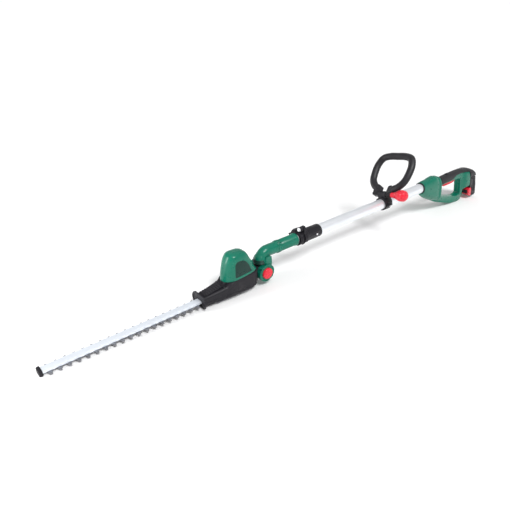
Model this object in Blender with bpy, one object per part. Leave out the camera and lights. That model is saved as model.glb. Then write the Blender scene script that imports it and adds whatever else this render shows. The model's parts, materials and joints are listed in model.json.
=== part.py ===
"""Cordless pole hedge trimmer lying on a floor, in metres, +Z up, blade towards +X.

Sizes are in millimetres. A station is a distance behind the blade's tip, measured along the pole.
Heights are measured from the top of the blade's guard bar, and y grows towards the user's left.
All pieces hang on the empty "tool", which pitches the pole so that tip and rear guard touch the floor.
"""

import math

import bmesh
import bpy
from mathutils import Matrix, Vector

MM = 0.001
GAP = 0.3

# The whole tool
LENGTH = 1924.0
PITCH = math.radians(1.42)
POLE_Z = 72.5

# Cutting head
TOOTH_PITCH = 23.0
TEETH = 19
FIRST_TOOTH = 25.0
BLADE_CORE = 9.5
TOOTH_REACH = 21.0
BLADE_THICK = 2.0
UPPER_BLADE_Z = -9.3
LOWER_BLADE_Z = -11.6
BAR_HALF = 11.0
BAR_THICK = 7.0
BLADE_BOLTS = (48.0, 140.0, 232.0, 324.0, 416.0)
STROKE = 5.0
SHIELD = 452.0
GEAR_STATION = 550.0
GEAR_TEETH = 42
PINION_TEETH = 10
MOTOR_STATION = 577.2
CAM_RADIUS = 7.5
EYE_INNER = 17.8
EYE_OUTER = 21.0
HOUSING_REAR = 653.0
RIBS = 8
RIB_PITCH = 7.8
WALL = 4.0
DOME_MIDDLE = 575.0
# Levels of the motor cover: height, front, rear, half-width, and how much it rises towards the rear
DOME = (
    (35.0, 534.0, 652.5, 30.5, 0.082),
    (48.4, 535.0, 643.0, 30.4, 0.082),
    (63.0, 537.0, 636.5, 30.1, 0.07),
    (76.5, 540.0, 630.0, 29.5, 0.05),
    (89.0, 543.5, 623.5, 28.4, 0.02),
    (99.0, 548.0, 619.5, 26.6, -0.01),
    (107.5, 553.5, 613.5, 22.5, -0.03),
    (112.0, 561.0, 606.0, 15.5, -0.05),
    (113.5, 571.0, 597.0, 6.5, -0.06),
)

# Tilting joint
PIVOT = 684.0
PIVOT_Z = 14.0
CHEEK_RADIUS = 28.0
CHEEK_INNER = 12.5
CHEEK_OUTER = 30.0
BUTTON_RADIUS = 18.0

# Pole
ELBOW_RADIUS = 18.5
BELLOWS_RADIUS = 22.0
ELBOW_END = 754.0
SLEEVE_END = 825.0
INNER_RADIUS = 15.0
OUTER_RADIUS = 19.0
CLAMP_FRONT = 831.0
CLAMP_REAR = 856.0
CLAMP_PIN_Y = 8.0
CLAMP_PIN_Z = POLE_Z + 33.0
COLLAR_END = 931.0
COLLAR_SCREW = 906.0
TUBE_FRONT = 862.0
TUBE_REAR = 1560.0

# Loop handle
LOOP_STATION = 1283.0
LOOP_ROLL = math.radians(13.0)
LOOP_LEAN = math.radians(40.0)
BOLT_RISE = 33.0
LOOP_RADIUS = 13.3
# Places on the left half of the loop's centre line, across and up from the bolt
LOOP_LEFT = (
    (-28, 12),
    (-36, 23),
    (-52, 33),
    (-68, 54),
    (-74.5, 84),
    (-74, 118),
    (-62, 146),
    (-36, 156),
    (0, 157),
)

# Rear handle
NOSE_FRONT = 1516.0
NOSE_REAR = 1638.0
PILLAR = 1812.0
BLOCK_REAR = 1861.0
RAKE = 0.32
RAKE_Z = 35.0
TRIGGER_PIVOT = 1766.0
TRIGGER_PIVOT_Z = 57.0
PACK_FRONT = 1863.0
PACK_REAR = 1912.0
PACK_BOTTOM = -49.0
PACK_TOP = 44.0
PACK_HALF = 29.0

COLOURS = {
    "green": ((0.012, 0.19, 0.115, 1), 0.32, 0.0),
    "black": ((0.018, 0.018, 0.021, 1), 0.5, 0.0),
    "rubber": ((0.012, 0.012, 0.013, 1), 0.75, 0.0),
    "red": ((0.62, 0.016, 0.025, 1), 0.35, 0.0),
    "aluminium": ((0.78, 0.79, 0.81, 1), 0.3, 1.0),
    "steel": ((0.45, 0.46, 0.48, 1), 0.35, 1.0),
    "dark_steel": ((0.07, 0.07, 0.08, 1), 0.4, 0.8),
    "brass": ((0.6, 0.42, 0.14, 1), 0.35, 1.0),
}

bodies = {}


# ---------------------------------------------------------------- helpers


def clear_scene():
    for obj in list(bpy.data.objects):
        bpy.data.objects.remove(obj, do_unlink=True)


def material(name):
    found = bpy.data.materials.get(name)
    if found:
        return found
    colour, roughness, metallic = COLOURS[name]
    made = bpy.data.materials.new(name)
    made.use_nodes = True
    shader = made.node_tree.nodes["Principled BSDF"]
    shader.inputs["Base Color"].default_value = colour
    shader.inputs["Roughness"].default_value = roughness
    shader.inputs["Metallic"].default_value = metallic
    made.diffuse_color = colour
    return made


def point(station, y, z):
    """A place on the tool, in millimetres along X, Y and Z of the tool's own frame."""
    return Vector((LENGTH / 2 - station, y, z))


def make_body(name, parent, place, turn=Matrix()):
    """An empty on a joint's axis, which carries the pieces of one moving body."""
    empty = bpy.data.objects.new(name + "_axis", None)
    empty.empty_display_size = 0.02
    bpy.context.scene.collection.objects.link(empty)
    frame = Matrix.Translation(place) @ turn
    bodies[name] = (empty, frame)
    if parent:
        parent_empty, parent_frame = bodies[parent]
        empty.parent = parent_empty
        local = parent_frame.inverted() @ frame
        local.translation *= MM
        empty.matrix_local = local
    return empty


def add(name, bm, body, colour, local=False, bevel=0.0, segments=2):
    """Turns a mesh in the tool's millimetres, or in its body's if local, into an object of that body."""
    empty, frame = bodies[body]
    if not local:
        bmesh.ops.transform(bm, matrix=frame.inverted(), verts=bm.verts)
    bmesh.ops.scale(bm, vec=(MM, MM, MM), verts=bm.verts)
    bmesh.ops.recalc_face_normals(bm, faces=bm.faces)
    mesh = bpy.data.meshes.new(name)
    bm.to_mesh(mesh)
    bm.free()
    mesh.materials.append(material(colour))
    mesh.shade_smooth()
    mesh.set_sharp_from_angle(angle=math.radians(35))
    obj = bpy.data.objects.new(name, mesh)
    bpy.context.scene.collection.objects.link(obj)
    obj.parent = empty
    if bevel:
        rounding = obj.modifiers.new("edges", "BEVEL")
        rounding.width = bevel * MM
        rounding.segments = segments
        rounding.limit_method = "ANGLE"
        rounding.angle_limit = math.radians(40)
    return obj


def combine(obj, bm, operation="DIFFERENCE", local=False):
    """Cuts a hidden shape from an object, or joins it to the object."""
    tool_name = f"{obj.name}_{operation.lower()}_{len(obj.modifiers)}"
    body = next(key for key, value in bodies.items() if value[0] == obj.parent)
    cutter = add(tool_name, bm, body, "steel", local)
    cutter.hide_render = True
    cutter.display_type = "WIRE"
    boolean = obj.modifiers.new(tool_name, "BOOLEAN")
    boolean.operation = operation
    boolean.solver = "EXACT"
    boolean.object = cutter
    return obj


def loft(rings, whole=False):
    """Skins rings of points, all of one length, with a cap on each end or back to the first ring."""
    bm = bmesh.new()
    count = len(rings[0])
    layers = [[bm.verts.new(place) for place in ring] for ring in rings]
    if whole:
        layers.append(layers[0])
    for first, second in zip(layers, layers[1:]):
        for i in range(count):
            j = (i + 1) % count
            bm.faces.new((first[i], first[j], second[j], second[i]))
    if not whole:
        bm.faces.new(layers[0])
        bm.faces.new(layers[-1])
    return bm


def turned(profile, segments=24):
    """A closed profile of (station, radius) points turned round the pole's axis."""
    rings = []
    for i in range(segments):
        angle = 2 * math.pi * i / segments
        across, up = math.cos(angle), math.sin(angle)
        rings.append([point(s, r * across, POLE_Z + r * up) for s, r in profile])
    return loft(rings, whole=True)


def crosswise(profile, centre=(0.0, 0.0), segments=24, whole=False):
    """A profile of (y, radius) points turned round an axis across the tool, at a station and a height."""
    rings = []
    if whole:
        for i in range(segments):
            angle = 2 * math.pi * i / segments
            across, up = math.cos(angle), math.sin(angle)
            rings.append([Vector((centre[0] + r * across, y, centre[1] + r * up)) for y, r in profile])
        return loft(rings, whole=True)
    for y, radius in profile:
        ring = []
        for i in range(segments):
            angle = 2 * math.pi * i / segments
            across, up = radius * math.cos(angle), radius * math.sin(angle)
            ring.append(Vector((centre[0] + across, y, centre[1] + up)))
        rings.append(ring)
    return loft(rings)


def cylinder(start, end, radius, segments=20):
    """A round bar between two points."""
    bm = bmesh.new()
    along = end - start
    turn = along.to_track_quat("Z", "Y").to_matrix().to_4x4()
    place = Matrix.Translation((start + end) / 2) @ turn
    bmesh.ops.create_cone(
        bm, cap_ends=True, segments=segments, radius1=radius, radius2=radius, depth=along.length, matrix=place
    )
    return bm


def prism(outline, low, high, plane="XY"):
    """An outline extruded from low to high: XY outlines run up, XZ outlines run across in y."""
    if plane == "XY":
        rings = [[Vector((x, y, level)) for x, y in outline] for level in (low, high)]
    elif plane == "XZ":
        rings = [[Vector((x, level, z)) for x, z in outline] for level in (low, high)]
    else:
        rings = [[Vector((level, y, z)) for y, z in outline] for level in (low, high)]
    return loft(rings)


def along(outline):
    """Stations turned into the tool's x in an outline."""
    return [(LENGTH / 2 - station, other) for station, other in outline]


def box(station, station_end, y, y_end, z, z_end):
    bm = bmesh.new()
    corners = [point(station, y, z), point(station_end, y_end, z_end)]
    centre = (corners[0] + corners[1]) / 2
    size = corners[1] - corners[0]
    place = Matrix.Translation(centre) @ Matrix.Diagonal((abs(size.x), abs(size.y), abs(size.z), 1))
    bmesh.ops.create_cube(bm, size=1.0, matrix=place)
    return bm


def local_box(x, x_end, y, y_end, z, z_end):
    return box(LENGTH / 2 - x, LENGTH / 2 - x_end, y, y_end, z, z_end)


def rounded(corners, radius, steps=4):
    """An outline with each corner replaced by an arc of the radius given, or of its own radius."""
    result = []
    count = len(corners)
    for i, corner in enumerate(corners):
        here = Vector(corner[:2])
        own = corner[2] if len(corner) > 2 else radius
        before = (Vector(corners[i - 1][:2]) - here).normalized()
        after = (Vector(corners[(i + 1) % count][:2]) - here).normalized()
        half = before.angle(after) / 2
        if own <= 0 or half > math.radians(88):
            result.append(tuple(here))
            continue
        centre = here + (before + after).normalized() * own / math.sin(half)
        first = here + before * own / math.tan(half)
        last = here + after * own / math.tan(half)
        turn = (first - centre).angle_signed(last - centre)
        for k in range(steps + 1):
            result.append(tuple(centre + Matrix.Rotation(-turn * k / steps, 2) @ (first - centre)))
    return result


def oval(station, half_width, low, high, power=2.0, count=24):
    """One section across the pole: an oval that turns boxy as its power grows."""
    ring = []
    middle = (low + high) / 2
    reach = (high - low) / 2
    for i in range(count):
        angle = 2 * math.pi * i / count
        c, s = math.cos(angle), math.sin(angle)
        across = half_width * math.copysign(abs(c) ** (2 / power), c)
        up = reach * math.copysign(abs(s) ** (2 / power), s)
        ring.append(point(station, across, middle + up))
    return ring


def swept(path, radii, normal, count=14):
    """A round bar along a flat path whose plane has the given normal, with a radius for each point."""
    rings = []
    for i, place in enumerate(path):
        ahead = path[min(i + 1, len(path) - 1)] - path[max(i - 1, 0)]
        side = ahead.normalized().cross(normal)
        ring = []
        for k in range(count):
            angle = 2 * math.pi * k / count
            ring.append(place + (side * math.cos(angle) + normal * math.sin(angle)) * radii[i])
        rings.append(ring)
    return loft(rings)


def merged(*meshes):
    """Several separate closed shapes as one mesh, for a cutter."""
    whole = bmesh.new()
    for part in meshes:
        mesh = bpy.data.meshes.new("part")
        part.to_mesh(mesh)
        part.free()
        whole.from_mesh(mesh)
        bpy.data.meshes.remove(mesh)
    return whole


# ---------------------------------------------------------------- bodies


def make_bodies():
    tool = make_body("tool", None, Vector((0, 0, 0)))
    tool.name = "tool"
    make_body("front_pole", "tool", point(CLAMP_FRONT, 0, POLE_Z))
    make_body("clamp_lever", "tool", point(CLAMP_FRONT, CLAMP_PIN_Y, CLAMP_PIN_Z))
    make_body("head", "front_pole", point(PIVOT, 0, PIVOT_Z))
    make_body("tilt_button", "front_pole", point(PIVOT, CHEEK_OUTER, PIVOT_Z))
    make_body("upper_blade", "head", point(GEAR_STATION, 0, UPPER_BLADE_Z))
    make_body("lower_blade", "head", point(GEAR_STATION, 0, LOWER_BLADE_Z))
    make_body("drive_gear", "head", point(GEAR_STATION, 0, 0))
    make_body("motor_pinion", "head", point(MOTOR_STATION, 0, 0))
    roll = Matrix.Rotation(LOOP_ROLL, 4, "X")
    clamp = point(LOOP_STATION, 0, POLE_Z)
    make_body("handle_clamp", "tool", clamp, roll)
    bolt = clamp + roll @ Vector((0, 0, BOLT_RISE))
    make_body("loop_handle", "handle_clamp", bolt, roll @ Matrix.Rotation(-LOOP_LEAN, 4, "Y"))
    make_body("handle_knob", "handle_clamp", bolt, roll)
    make_body("trigger", "tool", point(TRIGGER_PIVOT, 0, TRIGGER_PIVOT_Z))
    make_body("lock_off", "tool", point(1700, 0, 80))
    make_body("battery", "tool", point(PACK_FRONT, 0, PACK_TOP))
    make_body("battery_latch", "battery", point(PACK_FRONT, 0, -30))
    return tool


# ---------------------------------------------------------------- cutting head


def blade_outline():
    """Outline of a blade with teeth on both sides, whose rear end is an eye round the cams."""
    side = [(16.0, 5.0), (17.0, BLADE_CORE)]
    for i in range(TEETH):
        centre = FIRST_TOOTH + TOOTH_PITCH * i
        for reach, width in ((BLADE_CORE, 7.2), (13.5, 5.2), (TOOTH_REACH, 2.6)):
            side.append((centre - width, reach))
        for reach, width in ((TOOTH_REACH, 2.6), (13.5, 5.2), (BLADE_CORE, 7.2)):
            side.append((centre + width, reach))
    outline = side[:]
    reach = math.asin(BLADE_CORE / EYE_OUTER)
    for k in range(17):
        angle = math.pi - reach - (2 * math.pi - 2 * reach) * k / 16
        outline.append((GEAR_STATION + EYE_OUTER * math.cos(angle), EYE_OUTER * math.sin(angle)))
    outline += [(station, -y) for station, y in reversed(side)]
    return along(outline)


def slot(station, low, high):
    """A slot that lets a blade slide past a bolt."""
    half = 2.9
    reach = STROKE + 0.6
    ends = []
    for k in range(5):
        angle = -math.pi / 2 + math.pi * k / 4
        ends.append((station + reach + half * math.cos(angle), half * math.sin(angle)))
    for k in range(5):
        angle = math.pi / 2 + math.pi * k / 4
        ends.append((station - reach + half * math.cos(angle), half * math.sin(angle)))
    return prism(along(ends), low, high)


def make_blade(name, level):
    blade = add(name, prism(blade_outline(), level, level + BLADE_THICK), name, "steel")
    low, high = level - 3, level + BLADE_THICK + 3
    cuts = [slot(station, low, high) for station in BLADE_BOLTS]
    eye = cylinder(point(GEAR_STATION, 0, low), point(GEAR_STATION, 0, high), EYE_INNER, 24)
    combine(blade, merged(eye, *cuts))


def make_bar():
    """The aluminium guide bar over the blades, with a low crown and a blind hole for each bolt."""
    section = [
        (-BAR_HALF, -BAR_THICK),
        (BAR_HALF, -BAR_THICK),
        (BAR_HALF, -1.4),
        (BAR_HALF - 1.6, -0.4),
        (0, 0.3),
        (-BAR_HALF + 1.6, -0.4),
        (-BAR_HALF, -1.4),
    ]
    front, rear = LENGTH / 2 - 9.3, LENGTH / 2 - 500.0
    bar = add("guard_bar", prism(section, rear, front, "YZ"), "head", "aluminium")
    holes = [cylinder(point(s, 0, -9), point(s, 0, -4.2), 2.9, 12) for s in BLADE_BOLTS]
    combine(bar, merged(*holes))


def make_blade_bolts():
    for number, station in enumerate(BLADE_BOLTS, 1):
        shank = cylinder(point(station, 0, -13.0), point(station, 0, -4.5), 2.5, 12)
        bolt = add(f"blade_bolt_{number}", shank, "head", "dark_steel")
        combine(bolt, cylinder(point(station, 0, -13.6), point(station, 0, -11.9), 4.5, 12), "UNION")


def make_tip_guard():
    outline = rounded([(0.0, -14.5, 5.0), (0.0, 14.5, 5.0), (9.0, 13.0, 1.0), (9.0, -13.0, 1.0)], 2.0, 3)
    add("tip_guard", prism(along(outline), -12.2, 0.9), "head", "black", bevel=0.8, segments=1)


def make_shield():
    """The plate in front of the gearbox that stops the hand, with a slot for the blade."""
    right = [(-27, 20.5, 17), (-35.5, 0, 10), (-29, -19.5, 9)]
    left = [(-y, z, radius) for y, z, radius in reversed(right)]
    outline = rounded(right + left, 8, 4)
    front, rear = LENGTH / 2 - SHIELD, LENGTH / 2 - SHIELD - 4.5
    shield = add("hand_shield", prism(outline, rear, front, "YZ"), "head", "black", bevel=1.4, segments=2)
    combine(shield, box(SHIELD - 5, SHIELD + 10, -12.6, 12.6, -14.2, 1.2))


def housing_ring(station, half, low, high, shoulder, foot):
    """A six-sided gearbox section with sloping shoulders and a tucked-in foot."""
    side = [
        (half - foot, low),
        (half, low + foot),
        (half, high - shoulder),
        (half - shoulder, high),
    ]
    ring = side + [(-y, z) for y, z in reversed(side)]
    return [point(station, y, z) for y, z in ring]


def make_gearbox():
    sections = [
        (457.0, 20.0, -18.0, 12.5, 4.0, 4.0),
        (490.0, 23.5, -18.8, 16.0, 5.0, 4.5),
        (520.0, 27.0, -19.0, 20.0, 5.0, 5.0),
        (538.0, 29.0, -19.0, 24.0, 5.0, 5.5),
        (556.0, 31.0, -19.0, 33.0, 2.0, 6.0),
        (620.0, 31.0, -19.0, 37.0, 2.0, 6.0),
        (642.0, 28.0, -15.0, 38.5, 2.0, 5.0),
        (HOUSING_REAR, 21.0, -6.0, 39.0, 2.0, 4.0),
    ]
    rings = [housing_ring(*section) for section in sections]
    housing = add("gearbox_housing", loft(rings), "head", "black", bevel=1.6)
    level, front, rear, half, tilt = DOME[0]
    seat = [dome_ring(base, front, rear, half, tilt) for base in (15.0, level - 0.4)]
    combine(housing, loft(seat), "UNION")
    channel = box(440, 530, -12.4, 12.4, -14.0, 1.4)
    chamber = prism(along(rounded([(522, -22.5), (640, -22.5), (640, 22.5), (522, 22.5)], 8, 3)), -16.5, 16)
    well = prism(along(rounded([(549, -24), (634, -24), (634, 24), (549, 24)], 10, 3)), 8, 60)
    combine(housing, channel)
    combine(housing, chamber)
    combine(housing, well)
    make_ribbed_cover()
    sole = rounded([(500, -22, 6), (630, -24, 6), (630, 24, 6), (500, 22, 6)], 5, 3)
    add("base_plate", prism(along(sole), -21.8, -19.3), "head", "dark_steel")


def make_ribbed_cover():
    """The finger ribs on the sloping nose of the gearbox."""
    outline = [(463.0, 14.6)]
    for i in range(RIBS):
        start = 465.0 + RIB_PITCH * i
        height = 14.8 + (start - 463.0) * 0.13
        outline += [(start, height), (start + 1.0, height + 1.9)]
        outline += [(start + 4.0, height + 2.3), (start + 5.0, height + 0.5)]
    outline += [(528.0, 23.6)]
    under = [(528.0, 22.1), (520.0, 20.4), (490.0, 16.4), (463.0, 13.6)]
    add("gearbox_cover", prism(along(outline + under), -14.8, 14.8, "XZ"), "head", "black")


def dome_ring(level, front, rear, half, tilt, count=32):
    """One level of the motor cover: round in front of its widest place and boxy behind it."""
    widest = front + 0.38 * (rear - front)
    ring = []
    for k in range(count):
        angle = 2 * math.pi * (k + 0.5) / count
        c, s = math.cos(angle), math.sin(angle)
        if c < 0:
            reach, power = widest - front, 2.15
        else:
            reach, power = rear - widest, 3.6
        station = widest + reach * math.copysign(abs(c) ** (2 / power), c)
        across = half * math.copysign(abs(s) ** (2 / power), s)
        ring.append(point(station, across, level + tilt * (station - DOME_MIDDLE)))
    return ring


def dome_levels(inset=0.0):
    """Levels of the motor cover, or of its hollow."""
    rings = []
    for level, front, rear, half, tilt in DOME:
        drop = inset * (1.0 if level > 95 else 0.2)
        rings.append(dome_ring(level - drop, front + inset, rear - inset, max(half - inset, 2.5), tilt))
    return rings


def make_motor_cover():
    panel = rounded([(564, 43, 4), (640, 47, 5), (618, 89, 6), (564, 89, 5)], 4, 3)
    inset = rounded([(564.4, 43.4, 4), (639.5, 47.4, 5), (617.7, 88.6, 6), (564.4, 88.6, 5)], 4, 3)
    level, front, rear, half, tilt = DOME[0]
    below = dome_ring(level - 12, front + WALL, rear - WALL, half - WALL, tilt)
    for side, sign in (("left", 1), ("right", -1)):
        cover = add(f"motor_cover_{side}", loft(dome_levels()), "head", "green")
        combine(cover, loft([below] + dome_levels(WALL)))
        away = sorted((sign * 0.15, -sign * 60))
        combine(cover, box(500, 700, away[0], away[1], -20, 160))
        pocket = sorted((sign * 27.2, sign * 50))
        combine(cover, prism(along(panel), pocket[0], pocket[1], "XZ"))
        plate = sorted((sign * 27.5, sign * 28.4))
        add(f"side_panel_{side}", prism(along(inset), plate[0], plate[1], "XZ"), "head", "black")


def toothed_wheel(teeth, root, outer, low, high, station):
    """A spur wheel with plain tapered teeth."""
    outline = []
    for i in range(teeth):
        for share, radius in ((0.0, root), (0.2, outer), (0.5, outer), (0.7, root)):
            angle = 2 * math.pi * (i + share) / teeth
            outline.append((station + radius * math.cos(angle), radius * math.sin(angle)))
    return prism(along(outline), low, high)


def make_drive():
    wheel = toothed_wheel(GEAR_TEETH, 20.2, 21.5, 6.0, 13.0, GEAR_STATION)
    gear = add("drive_gear", wheel, "drive_gear", "steel")
    combine(gear, cylinder(point(GEAR_STATION, 0, 0), point(GEAR_STATION, 0, 20), 4.3, 16))
    rod = cylinder(point(GEAR_STATION, 0, -15), point(GEAR_STATION, 0, 15), 4.0, 16)
    shaft = add("cam_shaft", rod, "drive_gear", "dark_steel")
    for level, side in ((UPPER_BLADE_Z, 1), (LOWER_BLADE_Z, -1)):
        low = point(GEAR_STATION, side * STROKE, level + 0.05)
        high = point(GEAR_STATION, side * STROKE, level + BLADE_THICK - 0.05)
        combine(shaft, cylinder(low, high, CAM_RADIUS, 20), "UNION")
    wheel = toothed_wheel(PINION_TEETH, 4.0, 5.3, 6.3, 12.7, MOTOR_STATION)
    pinion = add("motor_pinion", wheel, "motor_pinion", "brass")
    combine(pinion, cylinder(point(MOTOR_STATION, 0, 9), point(MOTOR_STATION, 0, 43), 1.6, 10), "UNION")
    can = cylinder(point(MOTOR_STATION, 0, 45), point(MOTOR_STATION, 0, 96), 18.0, 24)
    motor = add("motor", can, "head", "steel", bevel=1.5)
    combine(motor, cylinder(point(MOTOR_STATION, 0, 95), point(MOTOR_STATION, 0, 99), 6.0, 16), "UNION")


def make_knuckle():
    """The barrel that the fork holds, with its neck to the gearbox and a bore for the pivot pin."""
    barrel = cylinder(point(PIVOT, -12.2, PIVOT_Z), point(PIVOT, 12.2, PIVOT_Z), 25.0, 28)
    knuckle = add("head_knuckle", barrel, "head", "black")
    combine(knuckle, box(HOUSING_REAR + GAP, PIVOT, -12.2, 12.2, -4, 36.5), "UNION")
    combine(knuckle, cylinder(point(PIVOT, -20, PIVOT_Z), point(PIVOT, 20, PIVOT_Z), 5.3, 16))


# ---------------------------------------------------------------- tilting joint and elbow


def elbow_path():
    """The elbow's centre line: up from the knuckle, round a bend and back along the pole."""
    bend = POLE_Z - 46.0
    start = 681.0
    path = [(start, 43.0), (start, 46.0)]
    for k in range(1, 8):
        angle = math.pi / 2 * k / 8
        path.append((start + bend * (1 - math.cos(angle)), 46.0 + bend * math.sin(angle)))
    path += [(start + bend, POLE_Z), (730.0, POLE_Z), (744.0, POLE_Z)]
    return [point(s, 0, z) for s, z in path]


def make_elbow():
    path = elbow_path()
    radii = [BELLOWS_RADIUS, BELLOWS_RADIUS, 20.5] + [ELBOW_RADIUS] * (len(path) - 3)
    arm = rounded([(680, 8, 2), (704, 8, 8), (708, 40, 8), (706, 66, 6), (684, 64, 4), (684, 40, 4)], 4, 3)
    for side, sign in (("left", 1), ("right", -1)):
        half = add(f"elbow_{side}", swept(path, radii, Vector((0, 1, 0)), 20), "front_pole", "green")
        flange = [(738, 17.5), (743, 20.5), (ELBOW_END, 20.5)]
        rings = [oval(s, r, POLE_Z - r, POLE_Z + r, 2.0, 28) for s, r in flange]
        combine(half, loft(rings), "UNION")
        faces = sorted((sign * CHEEK_INNER, sign * CHEEK_OUTER))
        disc = cylinder(point(PIVOT, faces[0], PIVOT_Z), point(PIVOT, faces[1], PIVOT_Z), CHEEK_RADIUS, 32)
        combine(half, disc, "UNION")
        faces = sorted((sign * CHEEK_INNER, sign * 24.0))
        combine(half, prism(along(arm), faces[0], faces[1], "XZ"), "UNION")
        away = sorted((sign * 0.15, -sign * 60))
        combine(half, box(600, 800, away[0], away[1], -40, 160))
        if side == "left":
            recess = cylinder(point(PIVOT, 19.7, PIVOT_Z), point(PIVOT, 40, PIVOT_Z), BUTTON_RADIUS + 0.5, 28)
        else:
            recess = cylinder(point(PIVOT, -40, PIVOT_Z), point(PIVOT, -25, PIVOT_Z), 12.0, 24)
        combine(half, recess)
        combine(half, cylinder(point(PIVOT, -40, PIVOT_Z), point(PIVOT, 40, PIVOT_Z), 5.3, 16))


def make_tilt_button():
    """The push button that frees the tilting joint, a cup with a round crown."""
    centre = (LENGTH / 2 - PIVOT, PIVOT_Z)
    profile = [(25.0, 17.6), (34.0, 18.0), (35.4, 17.0), (36.4, 13.0), (36.9, 7.0)]
    button = add("tilt_button", crosswise(profile, centre, 28), "tilt_button", "red")
    combine(button, cylinder(point(PIVOT, 20, PIVOT_Z), point(PIVOT, 33.4, PIVOT_Z), 12.5, 20))
    coil = crosswise([(20.2, 9.0), (20.2, 11.0), (28.4, 11.0), (28.4, 9.0)], centre, 16, whole=True)
    add("button_spring", coil, "front_pole", "steel")
    pin = cylinder(point(PIVOT, -26.5, PIVOT_Z), point(PIVOT, 19.4, PIVOT_Z), 5.0, 16)
    add("pivot_pin", pin, "front_pole", "steel")
    cap = cylinder(point(PIVOT, -30.6, PIVOT_Z), point(PIVOT, -26.8, PIVOT_Z), 11.6, 24)
    add("pivot_cap", cap, "front_pole", "black", bevel=0.8)


# ---------------------------------------------------------------- pole


def make_front_tube():
    profile = [(754.5, 15.3), (SLEEVE_END, 15.3), (SLEEVE_END, 20.6), (818, 20.6), (816, 19.0), (754.5, 19.0)]
    made = add("pole_sleeve", turned(profile), "front_pole", "green")
    for angle in (30, 150):
        across = math.cos(math.radians(angle))
        up = math.sin(math.radians(angle))
        place = (18.6 * across, POLE_Z + 18.6 * up)
        ridge = cylinder(point(759, *place), point(813, *place), 1.5, 8)
        combine(made, ridge, "UNION")
    bore = INNER_RADIUS - 1.5
    tube = turned([(757, bore), (1365, bore), (1365, INNER_RADIUS), (757, INNER_RADIUS)])
    add("inner_tube", tube, "front_pole", "aluminium")
    bush = turned([(1335, 15.3), (1365, 15.3), (1365, 17.1), (1335, 17.1)])
    add("guide_bush", bush, "front_pole", "black")


def make_clamp():
    """The quick clamp: a ring with two lugs, a pin along the pole, and a lever over the far side."""
    profile = [(CLAMP_FRONT, 15.3), (CLAMP_REAR, 15.3), (CLAMP_REAR, 24.0), (CLAMP_FRONT, 24.0)]
    made = add("clamp_ring", turned(profile, segments=28), "tool", "black")
    lug = rounded([(-2, 88, 1), (18, 88, 1), (17, 113.5, 7.5), (-1, 113.5, 7.5)], 4, 4)
    face = LENGTH / 2 - CLAMP_REAR
    combine(made, prism(lug, face, face + 7.0, "YZ"), "UNION")
    axis = (CLAMP_PIN_Y, CLAMP_PIN_Z)
    combine(made, cylinder(point(CLAMP_FRONT - 5, *axis), point(CLAMP_REAR + 5, *axis), 4.4, 16))
    bore = [(CLAMP_FRONT - 5, 0.01), (CLAMP_REAR + 5, 0.01), (CLAMP_REAR + 5, 15.3), (CLAMP_FRONT - 5, 15.3)]
    combine(made, turned(bore))
    pin = cylinder(point(CLAMP_FRONT + 3, *axis), point(CLAMP_REAR + 1.5, *axis), 4.1, 16)
    made = add("clamp_pin", pin, "tool", "steel")
    combine(made, cylinder(point(CLAMP_FRONT + 1, *axis), point(CLAMP_FRONT + 4.6, *axis), 6.2, 20), "UNION")
    low, high = CLAMP_FRONT + 5.0, CLAMP_REAR - 7.4
    arc = []
    for k in range(15):
        angle = math.radians(86 + 104 * k / 14)
        arc.append((25.6 * math.cos(angle), POLE_Z + 25.6 * math.sin(angle)))
    arc.append((-40.0, POLE_Z - 1.0))
    arc.append((-41.0, POLE_Z + 2.5))
    for k in range(14, -1, -1):
        angle = math.radians(86 + 88 * k / 14)
        arc.append((32.0 * math.cos(angle), POLE_Z + 32.0 * math.sin(angle)))
    lever = add("clamp_lever", prism(arc, LENGTH / 2 - high, LENGTH / 2 - low, "YZ"), "clamp_lever", "black")
    combine(lever, cylinder(point(low, *axis), point(high, *axis), 8.0, 20), "UNION")
    combine(lever, cylinder(point(low - 5, *axis), point(high + 5, *axis), 4.4, 16))


def make_outer_tube():
    collar = turned(
        [
            (857.5, 15.3),
            (861.5, 15.3),
            (861.5, 19.3),
            (COLLAR_END, 19.3),
            (COLLAR_END, 20.6),
            (COLLAR_END - 2, 21.4),
            (869, 21.8),
            (868, 23.6),
            (857.5, 23.6),
        ],
        segments=28,
    )
    made = add("tube_collar", collar, "tool", "black")
    combine(made, cylinder(point(COLLAR_SCREW, 10, POLE_Z), point(COLLAR_SCREW, 30, POLE_Z), 3.4, 12))
    screw = cylinder(point(COLLAR_SCREW, 19.4, POLE_Z), point(COLLAR_SCREW, 22.6, POLE_Z), 3.0, 12)
    add("collar_screw", screw, "tool", "steel")
    bore = OUTER_RADIUS - 1.5
    profile = [(TUBE_FRONT, bore), (TUBE_REAR, bore), (TUBE_REAR, OUTER_RADIUS), (TUBE_FRONT, OUTER_RADIUS)]
    add("outer_tube", turned(profile, segments=28), "tool", "aluminium")


# ---------------------------------------------------------------- loop handle


def half_ring(inner, outer, start, stop, length, count=14):
    """Part of a ring round the pole, in the clamp's own frame."""
    ring = []
    for radius, order in ((inner, range(count + 1)), (outer, range(count, -1, -1))):
        for k in order:
            angle = math.radians(start + (stop - start) * k / count)
            ring.append((radius * math.cos(angle), radius * math.sin(angle)))
    return prism(ring, -length / 2, length / 2, "YZ")


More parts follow.
